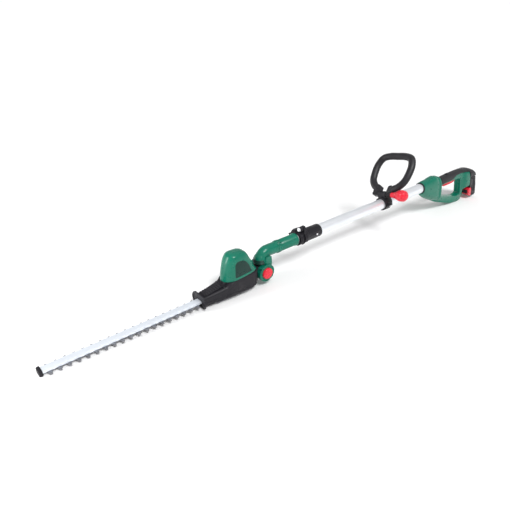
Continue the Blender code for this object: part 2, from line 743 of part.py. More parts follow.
def make_handle_clamp():
    saddle = add("handle_saddle", half_ring(19.3, 24.5, 4, 176, 38), "handle_clamp", "black", local=True)
    block = rounded([(-13, 21, 1), (13, 21, 1), (13, 30, 3), (9, 44, 6), (-9, 44, 6), (-13, 30, 3)], 3, 3)
    combine(saddle, prism(block, -14, 14.8, "XZ"), "UNION", local=True)
    bore = cylinder(Vector((0, -30, BOLT_RISE)), Vector((0, 30, BOLT_RISE)), 4.4, 16)
    combine(saddle, bore, local=True)
    strap = add("handle_strap", half_ring(19.3, 24.5, 184, 356, 30), "handle_clamp", "black", local=True)
    for side in (1, -1):
        flange = sorted((side * 21.5, side * 31.5))
        combine(saddle, local_box(-9, 9, flange[0], flange[1], 1.6, 6.6), "UNION", local=True)
        combine(strap, local_box(-9, 9, flange[0], flange[1], -6.6, -1.6), "UNION", local=True)
        hole = cylinder(Vector((0, side * 28, -20)), Vector((0, side * 28, 20)), 2.2, 10)
        combine(saddle, hole.copy(), local=True)
        combine(strap, hole, local=True)
        name = "strap_screw_" + ("left" if side > 0 else "right")
        screw = cylinder(Vector((0, side * 28, -9.0)), Vector((0, side * 28, 6.0)), 1.9, 10)
        made = add(name, screw, "handle_clamp", "steel", local=True)
        head = cylinder(Vector((0, side * 28, -9.4)), Vector((0, side * 28, -6.9)), 3.4, 12)
        combine(made, head, "UNION", local=True)
    shank = cylinder(Vector((0, -44.0, BOLT_RISE)), Vector((0, 50.0, BOLT_RISE)), 4.1, 16)
    bolt = add("handle_bolt", shank, "handle_clamp", "steel", local=True)
    head = cylinder(Vector((0, -45.6, BOLT_RISE)), Vector((0, -42.3, BOLT_RISE)), 7.5, 6)
    combine(bolt, head, "UNION", local=True)


def loop_path(steps=4):
    """Centre line of the loop in its own plane: a smooth curve through LOOP_LEFT and its mirror image."""
    left = [Vector((0, y, z)) for y, z in LOOP_LEFT]
    places = left + [Vector((0, -place.y, place.z)) for place in reversed(left[:-1])]
    path = []
    for i in range(len(places) - 1):
        before, here, after, beyond = (places[min(max(i + k, 0), len(places) - 1)] for k in (-1, 0, 1, 2))
        for k in range(steps):
            t = k / steps
            linear = (after - before) * t
            square = (2 * before - 5 * here + 4 * after - beyond) * t**2
            cube = (3 * here - before - 3 * after + beyond) * t**3
            path.append(here + (linear + square + cube) / 2)
    return path + [places[-1]]


def make_loop():
    path = loop_path()
    radii = [LOOP_RADIUS - 3.5 * max(0.0, 1 - min(i, len(path) - 1 - i) / 4) for i in range(len(path))]
    loop = add("loop_handle", swept(path, radii, Vector((1, 0, 0)), 14), "loop_handle", "rubber", local=True)
    left = rounded([(-42, -8, 6), (-15.2, -8, 3), (-15.2, 30, 6), (-30, 36, 6), (-42, 20, 6)], 4, 3)
    right = rounded([(15.2, -8, 3), (33, -8, 6), (36, 20, 6), (30, 36, 6), (15.2, 30, 6)], 4, 3)
    for tab in (left, right):
        combine(loop, prism(tab, -9.5, 9.5, "YZ"), "UNION", local=True)
    combine(loop, cylinder(Vector((0, -60, 0)), Vector((0, 60, 0)), 4.5, 16), local=True)
    for end, stop in ((-60, -42.0), (36.1, 60)):
        combine(loop, cylinder(Vector((0, end, 0)), Vector((0, stop, 0)), 9.5, 20), local=True)


def make_knob():
    """The red clamping knob, pear shaped, on the bolt."""
    profile = [
        (36.4, 9.0),
        (45, 9.5),
        (53, 11.5),
        (62, 15.5),
        (71, 19.5),
        (80, 21.5),
        (89, 20.6),
        (96, 16.5),
        (101, 9.5),
        (102.5, 4.0),
    ]
    knob = add("handle_knob", crosswise(profile, segments=22), "handle_knob", "red", local=True)
    combine(knob, cylinder(Vector((0, 30, 0)), Vector((0, 52, 0)), 4.5, 16), local=True)


# ---------------------------------------------------------------- rear handle


def rake(bm):
    """Leans a shape back, as the whole rear end of the tool leans."""
    for vertex in bm.verts:
        vertex.co.x += RAKE * (vertex.co.z - RAKE_Z)
    return bm


def nose_rings():
    sections = [
        (1514, 22.5, 51.0, 95.5, 2.0, 0.0),
        (1532, 23.5, 35.0, 99.0, 2.1, 0.0),
        (1555, 24.5, 20.0, 101.0, 2.3, 0.0),
        (1582, 25.5, 7.0, 104.0, 2.6, 0.05),
        (1604, 26.0, -2.0, 105.0, 2.8, 0.12),
        (1624, 25.5, -9.0, 99.5, 3.0, 0.2),
        (1628, 27.2, -11.0, 100.5, 3.0, 0.2),
        (NOSE_REAR, 27.2, -14.0, 97.0, 3.0, 0.2),
    ]
    rings = []
    for station, half, low, high, power, lean in sections:
        ring = oval(station, half, low, high, power)
        for place in ring:
            place.x += lean * (place.z - 45.0)
        rings.append(ring)
    return rings


def grip_rings(grow=0.0):
    """The handle's upper bar, from inside the nose back to the battery mount."""
    sections = [
        (1618, 14.0, 50.0, 81.0),
        (1660, 14.0, 50.0, 82.0),
        (1700, 14.5, 50.5, 84.0),
        (1760, 14.5, 50.0, 85.5),
        (1800, 15.5, 44.0, 85.0),
        (1822, 20.0, 34.0, 82.5),
        (1846, 26.0, 26.0, 78.5),
    ]
    return [oval(s, half + grow, low - grow, high + grow, 2.7, 18) for s, half, low, high in sections]


def guard_outline():
    """Side view of the guard below the fingers and of the pillar behind them."""
    outer = [
        (1618, 4, 0),
        (1618, -8, 0),
        (1672, -26, 40),
        (1740, -47, 60),
        (1800, -57, 30),
        (1826, -56, 16),
        (1842, -38, 14),
        (1838, 0, 10),
        (1824, 70, 2),
        (1795, 70, 2),
        (1822, -26, 9),
        (1790, -28, 24),
        (1720, -11, 60),
        (1656, 6, 14),
        (1640, 20, 8),
        (1630, 20, 0),
    ]
    return along(rounded(outer, 5, 4))


def block_rings(grow=0.0):
    """The battery mount behind the pillar, widening towards the battery, before it is raked."""
    sections = [
        (PILLAR - grow, 14.5, -18.0, 72.0),
        (PILLAR + 12, 20.0, -12.0, 76.0),
        (PILLAR + 26, 27.0, -6.0, 77.5),
        (BLOCK_REAR + grow, 29.0, -5.0, 77.5),
    ]
    return [oval(s, half + grow, low - grow, high + grow, 4.0, 28) for s, half, low, high in sections]


def make_rear_housing():
    for side, sign in (("left", 1), ("right", -1)):
        half = add(f"rear_housing_{side}", loft(nose_rings()), "tool", "green")
        combine(half, loft(grip_rings()), "UNION")
        combine(half, prism(guard_outline(), -14.5, 14.5, "XZ"), "UNION")
        combine(half, rake(loft(block_rings())), "UNION")
        away = sorted((sign * 0.15, -sign * 80))
        combine(half, box(1400, 2000, away[0], away[1], -90, 160))
        combine(half, turned([(1400, 0.01), (1562, 0.01), (1562, 19.3), (1400, 19.3)], segments=28))
        combine(half, box(1500, NOSE_FRONT + GAP, -30, 30, 40, 110))
        combine(half, box(1561, 1836, -11.2, 11.2, 54.0, 75.0))
        combine(half, box(1672, 1780, -8.0, 8.0, 38.0, 56.0))
        combine(half, box(1692.7, 1719.3, -7.3, 7.3, 70.0, 100.0))
        combine(half, rake(box(BLOCK_REAR - 13, BLOCK_REAR + 9, -20.3, 20.3, 8.7, 40.3)))
    profile = [(1510.5, 19.3), (NOSE_FRONT, 19.3), (NOSE_FRONT, 21.8), (1512, 21.8), (1510.5, 21.0)]
    ring = turned(profile, segments=28)
    add("nose_ring", ring, "tool", "black")


def make_soft_grip():
    """The soft skin over the upper bar and over the top and back of the battery mount."""
    sections = [
        (1645, 17.0, 46.0, 85.5),
        (1700, 17.8, 46.0, 88.0),
        (1760, 17.8, 46.0, 89.5),
        (1800, 18.8, 44.0, 89.0),
        (1830, 24.0, 40.0, 85.5),
        (1852, 30.0, 36.0, 82.5),
        (1880, 30.5, 36.0, 76.0),
        (1897, 29.8, 38.0, 67.0),
        (1905, 28.8, 40.0, 56.0),
    ]
    grip = add("soft_grip", loft([oval(*section, 2.9, 22) for section in sections]), "tool", "rubber")
    under = [
        (1640, 20),
        (1640, 60),
        (1735, 64),
        (1756, 76),
        (1792, 78),
        (BLOCK_REAR - 24, 75.5),
        (BLOCK_REAR + 0.6 - RAKE * (75.5 - RAKE_Z), 75.5),
        (BLOCK_REAR + 0.6 - RAKE * (46 - RAKE_Z), 46),
        (1950, 45),
        (1950, 20),
    ]
    combine(grip, prism(along(under), -60, 60, "XZ"))
    combine(grip, loft(grip_rings(0.4)))
    combine(grip, rake(loft(block_rings(0.4))))
    combine(grip, box(1692.7, 1719.3, -7.3, 7.3, 70.0, 100.0))


def make_trigger():
    outline = [
        (1676, 44.5, 3),
        (1684, 41.5, 4),
        (1728, 40.5, 30),
        (1756, 43.5, 4),
        (1772, 51.5, 4),
        (1770, 61, 3),
        (1760, 62, 3),
        (1690, 60, 3),
        (1676, 56, 3),
    ]
    lever = prism(along(rounded(outline, 3, 3)), -7.4, 7.4, "XZ")
    trigger = add("trigger", lever, "trigger", "red", bevel=1.2, segments=1)
    bore, pin = ([point(TRIGGER_PIVOT, y, TRIGGER_PIVOT_Z) for y in (-half, half)] for half in (12.0, 10.8))
    combine(trigger, cylinder(*bore, 2.4, 12))
    add("trigger_pin", cylinder(*pin, 2.1, 12), "tool", "steel")
    add("power_switch", box(1728, 1756, -8, 8, 70.6, 74.6), "tool", "black")
    spring = cylinder(point(1735, 0, 68.0), point(1735, 0, 70.3), 3.0, 12)
    add("trigger_spring", spring, "tool", "steel")


def make_lock_off():
    """The button on top of the grip that must be pressed before the trigger moves."""
    outline = [(1693, 76.6, 1), (1693, 88.6, 2), (1700, 90.6, 6)]
    outline += [(1712, 90.6, 6), (1719, 89.2, 2), (1719, 76.6, 1)]
    outline = rounded(outline, 2, 3)
    add("lock_off_button", prism(along(outline), -7.0, 7.0, "XZ"), "lock_off", "black")


def make_battery():
    outline = rounded(
        [
            (PACK_FRONT, -32, 6),
            (PACK_FRONT + 6, PACK_BOTTOM, 6),
            (PACK_REAR - 5, PACK_BOTTOM, 10),
            (PACK_REAR - 3, 0, 40),
            (PACK_REAR - 6, PACK_TOP, 5),
            (PACK_FRONT, PACK_TOP, 2),
        ],
        4,
        3,
    )
    half = PACK_HALF
    pack = add("battery_pack", rake(prism(along(outline), -half, half, "XZ")), "battery", "black", bevel=3.0)
    combine(pack, rake(box(PACK_FRONT - 5, PACK_FRONT + 13, 3.7 - half, half + 5, -60, -6.6)))
    latch = [
        (PACK_FRONT - 16, -14, 3),
        (PACK_FRONT - 2, -7.2, 3),
        (PACK_FRONT + 9, -7.2, 3),
        (PACK_FRONT + 9, -45, 4),
        (PACK_FRONT - 4, -47, 4),
        (PACK_FRONT - 16, -36, 6),
    ]
    latch = rake(prism(along(rounded(latch, 4, 3)), 4.0 - half, half + 0.6, "XZ"))
    add("battery_latch", latch, "battery_latch", "red", bevel=1.5, segments=1)
    terminal = rake(box(BLOCK_REAR - 12.5, PACK_FRONT - 0.5, -20, 20, 9, 40))
    add("terminal_block", terminal, "tool", "brass")


def make_screws():
    """Housing screws in the right-hand shell."""
    shell = bpy.data.objects["rear_housing_right"]
    places = ((1575, 24.0, -20.0), (1612, 4.0, -20.0), (1800, -42.0, -9.0), (1838, 20.0, -11.0))
    for number, (station, level, bottom) in enumerate(places, 1):
        combine(shell, cylinder(point(station, -40, level), point(station, bottom, level), 3.6, 12))
        screw = cylinder(point(station, bottom - 3.2, level), point(station, bottom - GAP, level), 3.1, 12)
        add(f"housing_screw_{number}", screw, "tool", "dark_steel")


# ---------------------------------------------------------------- assembly


def stand_on_floor(tool):
    """Pitches the tool and moves it so that its box is centred over the origin and rests on z = 0."""
    tool.rotation_euler = (0.0, PITCH, 0.0)
    bpy.context.view_layer.update()
    graph = bpy.context.evaluated_depsgraph_get()
    low = [math.inf] * 3
    high = [-math.inf] * 3
    for obj in bpy.context.scene.objects:
        if obj.type != "MESH" or obj.hide_render:
            continue
        evaluated = obj.evaluated_get(graph)
        for vertex in evaluated.data.vertices:
            place = evaluated.matrix_world @ vertex.co
            low = [min(a, b) for a, b in zip(low, place)]
            high = [max(a, b) for a, b in zip(high, place)]
    tool.location = (-(low[0] + high[0]) / 2, -(low[1] + high[1]) / 2, -low[2])
    bpy.context.view_layer.update()


def main():
    clear_scene()
    tool = make_bodies()
    make_blade("upper_blade", UPPER_BLADE_Z)
    make_blade("lower_blade", LOWER_BLADE_Z)
    make_bar()
    make_blade_bolts()
    make_tip_guard()
    make_shield()
    make_gearbox()
    make_motor_cover()
    make_drive()
    make_knuckle()
    make_elbow()
    make_tilt_button()
    make_front_tube()
    make_clamp()
    make_outer_tube()
    make_handle_clamp()
    make_loop()
    make_knob()
    make_rear_housing()
    make_soft_grip()
    make_trigger()
    make_lock_off()
    make_battery()
    make_screws()
    stand_on_floor(tool)


main()
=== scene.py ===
"""Looks of the cordless pole hedge trimmer: fine meshes, materials, floor, light and camera.

Stations are millimetres behind the blade's tip along the pole, y grows towards the user's left, and z is
measured from the top of the blade's guard bar, as in the CAD model. TOOL turns them into metres.
"""

import json
import math

import bmesh
import bpy
from mathutils import Matrix, Vector


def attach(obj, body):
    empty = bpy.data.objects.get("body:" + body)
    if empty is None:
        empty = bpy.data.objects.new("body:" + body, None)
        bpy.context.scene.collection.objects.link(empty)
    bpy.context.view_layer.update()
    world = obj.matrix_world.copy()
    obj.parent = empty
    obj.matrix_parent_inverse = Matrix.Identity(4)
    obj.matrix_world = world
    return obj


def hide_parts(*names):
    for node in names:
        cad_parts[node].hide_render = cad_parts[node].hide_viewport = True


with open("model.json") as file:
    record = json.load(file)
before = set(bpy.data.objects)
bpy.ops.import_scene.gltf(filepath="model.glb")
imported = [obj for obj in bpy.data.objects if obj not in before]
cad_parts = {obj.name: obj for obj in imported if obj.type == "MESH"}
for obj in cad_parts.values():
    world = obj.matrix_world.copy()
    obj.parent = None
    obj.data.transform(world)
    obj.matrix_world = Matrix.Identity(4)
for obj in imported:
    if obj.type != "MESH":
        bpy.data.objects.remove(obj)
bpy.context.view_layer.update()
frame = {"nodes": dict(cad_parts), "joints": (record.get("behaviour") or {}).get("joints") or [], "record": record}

MM = 0.001
GAP = 0.3
SEAM = 0.3
WELD = 1e-6
SMALL_EDGE = 0.0002
SIDES = ((1, "left"), (-1, "right"))
LENGTH = 1924.0
PIVOT = 684.0
PIVOT_Z = 14.0
PIVOT_BORE = 5.3
POLE_Z = 72.5

joints = {joint["name"]: joint for joint in frame["joints"]}


def tool_matrix():
    """The tool's own frame, in millimetres, from the pole's axis and the tilting joint's place."""
    ahead = Vector(joints["pole_extend"]["axis"]).normalized()
    across = Vector((0, 1, 0))
    turn = Matrix((ahead, across, ahead.cross(across))).transposed()
    pivot = Vector((LENGTH / 2 - PIVOT, 0, PIVOT_Z)) * MM
    origin = Vector(joints["head_tilt"]["pos_m"]) - turn @ pivot
    return Matrix.Translation(origin) @ turn.to_4x4() @ Matrix.Scale(MM, 4)


TOOL = tool_matrix()
TO_TOOL = TOOL.inverted()


def joint_place(name):
    """A joint's place as (station, y, z)."""
    place = TO_TOOL @ Vector(joints[name]["pos_m"])
    return LENGTH / 2 - place.x, place.y, place.z


CLAMP_PIN = joint_place("clamp_lever_open")[1:]
BOLT_STATION, BOLT_Y = joint_place("loop_tilt")[:2]
TRIGGER_STATION, _, TRIGGER_Z = joint_place("trigger_squeeze")

# Cutting head
# Half-width of the blade steel near the middle plane that is darkened as painted shade under the guide bar
BLADE_SHADE_HALF = 14.0
BAR_HALF = 11.0
BAR_THICK = 7.0
SHIELD = 452.0
HOUSING_REAR = 653.0
SCREW_STATION = 529.0
SCREW_Y = 20.0
DOME_MIDDLE = 575.0
DOME_WALL = 3.0
# Levels of the motor cover: height, front, rear, half-width, and how much it rises towards the rear
DOME = (
    (35.0, 534.0, 652.5, 30.5, 0.082),
    (48.4, 535.0, 643.0, 30.4, 0.082),
    (63.0, 537.0, 636.5, 30.1, 0.07),
    (76.5, 540.0, 630.0, 29.5, 0.05),
    (89.0, 543.5, 623.5, 28.4, 0.02),
    (99.0, 548.0, 619.5, 26.6, -0.01),
    (107.5, 553.5, 613.5, 22.5, -0.03),
    (112.0, 561.0, 606.0, 15.5, -0.05),
    (113.5, 571.0, 597.0, 6.5, -0.06),
)

# Tilting joint and pole
CHEEK_RADIUS = 28.0
CHEEK_INNER = 12.5
CHEEK_OUTER = 30.0
ELBOW_RADIUS = 18.5
BELLOWS_RADIUS = 22.0
ELBOW_START = 681.0
ELBOW_END = 754.0
SLEEVE_END = 825.0
CLAMP_FRONT = 831.0
CLAMP_REAR = 856.0
COLLAR_END = 931.0
COLLAR_SCREW = 906.0
TUBE_FRONT = 862.0
TUBE_REAR = 1560.0
TUBE_RADIUS = 19.0
TUBE_BORE = TUBE_RADIUS + GAP
SLIDING_BORE = 15.3

# Loop handle
BOLT_RISE = 33.0
LOOP_RADIUS = 13.3
# Places on the left half of the loop's centre line, across and up from the bolt
LOOP_LEFT = (
    (-28, 12), (-36, 23), (-52, 33), (-68, 54), (-74.5, 84), (-74, 118), (-62, 146), (-36, 156),
    (0, 157),
)
LOOP_ROLL = math.asin(-BOLT_Y / BOLT_RISE)
LOOP_LEAN = math.radians(40.0)

# Rear handle
NOSE_FRONT = 1516.0
NOSE_REAR = 1638.0
PILLAR = 1812.0
BLOCK_REAR = 1861.0
RAKE = 0.32
RAKE_Z = 35.0
# Room for the lock-off button: stations, y and z
LOCK_POCKET = (1692.7, 1719.3, -7.3, 7.3, 70.0, 100.0)
PACK_FRONT = 1863.0
PACK_REAR = 1912.0
PACK_BOTTOM = -49.0
PACK_TOP = 44.0
PACK_HALF = 29.0


# -------- materials

# How many times as bright as the body rubbed edges are, and the blade steel darkened as painted shade under the
# guide bar
WORN = 3.0
UNDER_BAR_SHADE = 0.08


class Nodes:
    """Short ways to add nodes to one material."""

    def __init__(self, name, colour, roughness, metallic=0.0):
        self.material = bpy.data.materials.new(name)
        self.material.use_nodes = True
        self.material.diffuse_color = (*colour, 1.0)
        self.tree = self.material.node_tree
        self.shader = self.tree.nodes["Principled BSDF"]
        self.feed(self.shader, {"Base Color": (*colour, 1.0), "Roughness": roughness, "Metallic": metallic})

    def feed(self, node, inputs):
        """Gives each of a node's inputs a value or the output of another node."""
        for name, value in inputs.items():
            if isinstance(value, bpy.types.NodeSocket):
                self.tree.links.new(value, node.inputs[name])
            else:
                node.inputs[name].default_value = value

    def add(self, kind, inputs, output, **settings):
        """The output of a new node."""
        node = self.tree.nodes.new("ShaderNode" + kind)
        for name, value in settings.items():
            setattr(node, name, value)
        self.feed(node, inputs)
        return node.outputs[output]

    def noise(self, stretch, detail=3.0, roughness=0.5):
        """Noise over the object, with so many features to the metre along x, y and z."""
        place = self.add("TexCoord", {}, "Object")
        place = self.add("Mapping", {"Vector": place, "Scale": stretch}, "Vector")
        inputs = {"Vector": place, "Scale": 1.0, "Detail": detail, "Roughness": roughness}
        return self.add("TexNoise", inputs, "Fac")

    def spread(self, value, low, high, start=0.3, end=0.7):
        """A value mapped from start..end to low..high."""
        inputs = {"Value": value, "From Min": start, "From Max": end, "To Min": low, "To Max": high}
        return self.add("MapRange", inputs, "Result")

    def within(self, distance):
        """One nearer to the tool's middle plane than the distance, and zero further away."""
        place = self.add("TexCoord", {}, "Object")
        across = self.add("SeparateXYZ", {"Vector": place}, "Y")
        size = self.add("Math", {0: across}, "Value", operation="ABSOLUTE")
        return self.spread(size, 1.0, 0.0, distance - 0.0005, distance + 0.0005)

    def times(self, first, second):
        return self.add("Math", {0: first, 1: second}, "Value", operation="MULTIPLY")

    def mix(self, share, first, second):
        """Two colours mixed by a share; the first may be the output of another node."""
        if not isinstance(first, bpy.types.NodeSocket):
            first = (*first, 1.0)
        inputs = {"Factor": share, "A": first, "B": (*second, 1.0)}
        return self.add("Mix", inputs, "Result", data_type="RGBA")

    def edges(self, radius):
        """One on edges sharper than the radius, and zero on flat faces."""
        soft = self.add("Bevel", {"Radius": radius}, "Normal", samples=4)
        flat = self.add("NewGeometry", {}, "Normal")
        dot = self.add("VectorMath", {0: soft, 1: flat}, "Value", operation="DOT_PRODUCT")
        return self.spread(dot, 1.0, 0.0, 0.80, 0.98)

    def finish(self, body, roughness, height, depth):
        """Links a colour, a roughness and a relief of so many metres to the shader."""
        relief = self.add("Bump", {"Height": height, "Distance": depth, "Strength": 1.0}, "Normal")
        self.feed(self.shader, {"Base Color": body, "Roughness": roughness, "Normal": relief})
        return self.material


def scaled(colour, factor):
    return tuple(min(1.0, channel * factor) for channel in colour)


def plastic(name, colour, roughness, grain, depth, wear=0.0, coat=0.0):
    """Moulded plastic: so many grains to the metre, a slightly cloudy colour and perhaps rubbed edges."""
    nodes = Nodes(name, colour, roughness)
    nodes.feed(nodes.shader, {"Specular IOR Level": 0.3, "Coat Weight": coat, "Coat Roughness": 0.12})
    cloud = nodes.noise((28, 28, 28), 4.0)
    body = nodes.mix(nodes.spread(cloud, 0.0, 1.0), scaled(colour, 0.94), scaled(colour, 1.06))
    if wear:
        scuffs = nodes.spread(nodes.noise((160, 420, 420), 5.0, 0.65), 0.0, wear, 0.42, 0.62)
        body = nodes.mix(nodes.times(nodes.edges(0.0009), scuffs), body, scaled(colour, WORN))
    smears = nodes.spread(nodes.noise((60, 90, 90), 5.0, 0.6), roughness * 0.82, roughness * 1.2)
    return nodes.finish(body, smears, nodes.noise((grain, grain, grain), 2.0), depth)


def rubber(name, colour, roughness, grain, depth):
    """Soft skin: dusty, with a coarse pebbled grain and a little sheen."""
    nodes = Nodes(name, colour, roughness)
    nodes.feed(nodes.shader, {"Specular IOR Level": 0.35, "Sheen Weight": 0.08, "Sheen Roughness": 0.5})
    dust = nodes.spread(nodes.noise((40, 40, 40), 6.0, 0.62), 0.0, 1.0, 0.38, 0.68)
    body = nodes.mix(dust, scaled(colour, 0.85), scaled(colour, 1.35))
    dull = nodes.spread(dust, roughness * 0.9, roughness * 1.12, 0, 1)
    return nodes.finish(body, dull, nodes.noise((grain, grain, grain), 2.0, 0.4), depth)


def metal(name, colour, roughness, lines, depth, stain=0.85, metallic=1.0, core=0.0):
    """Drawn or ground metal: fine lines along one axis, faint stains, and perhaps a core darkened as painted shade
    under the guide bar.
    """
    nodes = Nodes(name, colour, roughness, metallic)
    streaks = nodes.noise(lines, 4.0, 0.7)
    stains = nodes.spread(nodes.noise((22, 60, 60), 5.0), 0.0, 1.0)
    body = nodes.mix(stains, scaled(colour, stain), colour)
    if core:
        # Painted shade: the steel near the middle plane, under the guide bar, is darkened
        body = nodes.mix(nodes.within(core * MM), body, scaled(colour, UNDER_BAR_SHADE))
    ground = nodes.spread(streaks, roughness * 0.8, roughness * 1.3)
    return nodes.finish(body, ground, streaks, depth)


LENGTHWISE = (4, 2600, 2600)
CROSSWISE = (2600, 8, 2600)
TURNED = (900, 900, 60)
# Colour, roughness, grains to the metre and their depth; wear and coat may follow
PLASTICS = {
    "green_plastic": ((0.002, 0.150, 0.094), 0.30, 2600, 0.00001, 0.0, 0.12),
    "black_plastic": ((0.010, 0.009, 0.013), 0.46, 1900, 0.00003, 0.45),
    # dark_panel: on the dome's sides this dark green is partly the panel's own colour and partly painted shade
    "dark_panel": ((0.002, 0.028, 0.021), 0.30, 2200, 0.00001),
    "battery_case": ((0.009, 0.008, 0.011), 0.50, 1500, 0.00004, 0.45),
    "red_plastic": ((0.70, 0.018, 0.038), 0.28, 2600, 0.00001, 0.0, 0.2),
}
RUBBERS = {
    "soft_rubber": ((0.010, 0.009, 0.012), 0.64, 1100, 0.0001),
    "loop_rubber": ((0.009, 0.008, 0.011), 0.47, 1400, 0.00006),
}
# Colour, roughness, lines and their depth; stain, metallic share and the half-width of a core darkened as painted
# shade may follow
METALS = {
    "bar_aluminium": ((0.83, 0.88, 0.95), 0.42, LENGTHWISE, 0.00002, 0.95, 0.5),
    "tube_aluminium": ((0.89, 0.915, 0.955), 0.38, LENGTHWISE, 0.00001, 0.96, 0.7),
    "blade_steel": ((0.32, 0.32, 0.34), 0.38, CROSSWISE, 0.00002, 0.7, 1.0, BLADE_SHADE_HALF),
    "sole_steel": ((0.30, 0.30, 0.32), 0.42, LENGTHWISE, 0.00002, 0.75),
    "fastener_steel": ((0.88, 0.88, 0.90), 0.42, TURNED, 0.00001, 0.9, 0.7),
    "dark_steel": ((0.10, 0.10, 0.11), 0.40, TURNED, 0.00002),
    "gear_steel": ((0.50, 0.50, 0.52), 0.33, TURNED, 0.00001),
    "motor_case": ((0.60, 0.60, 0.62), 0.36, LENGTHWISE, 0.00001),
    "brass": ((0.72, 0.52, 0.22), 0.30, TURNED, 0.00001),
}
MATERIALS = {
    name: make(name, *look)
    for make, looks in ((plastic, PLASTICS), (rubber, RUBBERS), (metal, METALS))
    for name, look in looks.items()
}


def round_edges(obj, width, segments, angle):
    """Rounds the edges that are sharper than the angle, by a width in metres."""
    rounding = obj.modifiers.new("edges", "BEVEL")
    rounding.width = width
    rounding.segments = segments
    rounding.limit_method = "ANGLE"
    rounding.angle_limit = math.radians(angle)
    return rounding


def dress_cad_nodes():
    """Gives each CAD node the material of its slot."""
    slots = {part["node"]: part["material_slot"] for part in frame["record"]["subparts"]}
    for name, obj in frame["nodes"].items():
        obj.data.materials.clear()
        obj.data.materials.append(MATERIALS[slots[name]])


def soften_cad_nodes():
    """Small round edges on the CAD nodes that no finer mesh has replaced."""
    for obj in frame["nodes"].values():
        if obj.hide_render:
            continue
        weld = obj.modifiers.new("weld", "WELD")
        weld.merge_threshold = WELD
        round_edges(obj, SMALL_EDGE, 2, 35)


# -------- mesh helpers


def point(station, y, z):
    return Vector((LENGTH / 2 - station, y, z))


def loft(rings, whole=False):
    """Skins rings of points, all of one length, with a cap on each end or back to the first ring."""
    bm = bmesh.new()
    count = len(rings[0])
    layers = [[bm.verts.new(place) for place in ring] for ring in rings]
    if whole:
        layers.append(layers[0])
    for first, second in zip(layers, layers[1:]):
        for i in range(count):
            j = (i + 1) % count
            bm.faces.new((first[i], first[j], second[j], second[i]))
    if not whole:
        bm.faces.new(layers[0])
        bm.faces.new(layers[-1])
    return bm


def polar(radius, degrees):
    """A point on a circle, across and up from its middle."""
    angle = math.radians(degrees)
    return radius * math.cos(angle), radius * math.sin(angle)


def circle(count):
    return [(math.cos(2 * math.pi * i / count), math.sin(2 * math.pi * i / count)) for i in range(count)]


def turned(profile, segments=96):
    """A closed profile of (station, radius) points turned round the pole's axis."""
    rings = [[point(s, r * across, POLE_Z + r * up) for s, r in profile] for across, up in circle(segments)]
    return loft(rings, whole=True)


def crosswise(profile, segments=96):
    """A profile of (y, radius) points turned round the tilting joint's axis, closed at its ends."""
    rings = []
    for y, radius in profile:
        rings.append([point(PIVOT - radius * c, y, PIVOT_Z + radius * s) for c, s in circle(segments)])
    return loft(rings)


def cylinder(start, end, radius, segments=48):
    bm = bmesh.new()
    axis = end - start
    place = Matrix.Translation((start + end) / 2) @ axis.to_track_quat("Z", "Y").to_matrix().to_4x4()
    size = {"radius1": radius, "radius2": radius, "depth": axis.length}
    bmesh.ops.create_cone(bm, cap_ends=True, segments=segments, matrix=place, **size)
    return bm


def crossbar(station, z, y, y_end, radius, segments=48):
    """A cylinder across the tool."""
    return cylinder(point(station, y, z), point(station, y_end, z), radius, segments)


def rod(station, station_end, y, z, radius, segments=48):
    """A cylinder along the tool."""
    return cylinder(point(station, y, z), point(station_end, y, z), radius, segments)


def upright(station, y, z, z_end, radius, segments=48):
    """A cylinder that stands on the tool's plane."""
    return cylinder(point(station, y, z), point(station, y, z_end), radius, segments)


def prism(outline, low, high, plane="XY"):
    """An outline extruded from low to high: XY outlines run up, XZ across and YZ along the tool."""
    order = {"XY": (0, 1, 2), "XZ": (0, 2, 1), "YZ": (2, 0, 1)}[plane]
    rings = []
    for level in (low, high):
        rings.append([Vector([(a, b, level)[axis] for axis in order]) for a, b in outline])
    return loft(rings)


def along(outline):
    """Stations turned into the tool's x in an outline."""
    return [(LENGTH / 2 - station, other) for station, other in outline]


def box(station, station_end, y, y_end, z, z_end):
    bm = bmesh.new()
    corners = [point(station, y, z), point(station_end, y_end, z_end)]
    size = corners[1] - corners[0]
    place = Matrix.Translation((corners[0] + corners[1]) / 2)
    place = place @ Matrix.Diagonal((abs(size.x), abs(size.y), abs(size.z), 1))
    bmesh.ops.create_cube(bm, size=1.0, matrix=place)
    return bm


def span(side, near, far):
    """From near to far, on the left where side is 1 and on the right where it is -1."""
    return sorted((side * near, side * far))


def other_half(station, station_end, side):
    """What a shell that is split down the middle leaves to its twin."""
    return box(station, station_end, *sorted((side * SEAM / 2, -side * 80)), -90, 160)


def mirrored(outline):
    """The other half of an outline across the tool, in the order that carries it on."""
    return [(-y, *rest) for y, *rest in reversed(outline)]


def rounded(corners, radius, steps=10):
    """An outline with each corner replaced by an arc of the radius given, or of its own radius."""
    result = []
    for i, corner in enumerate(corners):
        here = Vector(corner[:2])
        own = corner[2] if len(corner) > 2 else radius
        before = (Vector(corners[i - 1][:2]) - here).normalized()
        after = (Vector(corners[(i + 1) % len(corners)][:2]) - here).normalized()
        half = before.angle(after) / 2
        if own <= 0 or half > math.radians(88):
            result.append(tuple(here))
            continue
        centre = here + (before + after).normalized() * own / math.sin(half)
        first = here + before * own / math.tan(half)
        last = here + after * own / math.tan(half)
        turn = (first - centre).angle_signed(last - centre)
        for k in range(steps + 1):
            result.append(tuple(centre + Matrix.Rotation(-turn * k / steps, 2) @ (first - centre)))
    return result


def oval(station, half_width, low, high, power=2.0, count=96):
    """One section across the pole: an oval that turns boxy as its power grows."""
    ring = []
    for c, s in circle(count):
        across = half_width * math.copysign(abs(c) ** (2 / power), c)
        up = (high - low) / 2 * math.copysign(abs(s) ** (2 / power), s)
        ring.append(point(station, across, (low + high) / 2 + up))
    return ring


def oval_bar(rows, power, count, grow=0.0):
    """A bar through ovals of (station, half-width, low, high), thicker by a margin all round."""
    rings = []
    for station, half, low, high in rows:
        rings.append(oval(station, half + grow, low - grow, high + grow, power, count))
    return loft(rings)


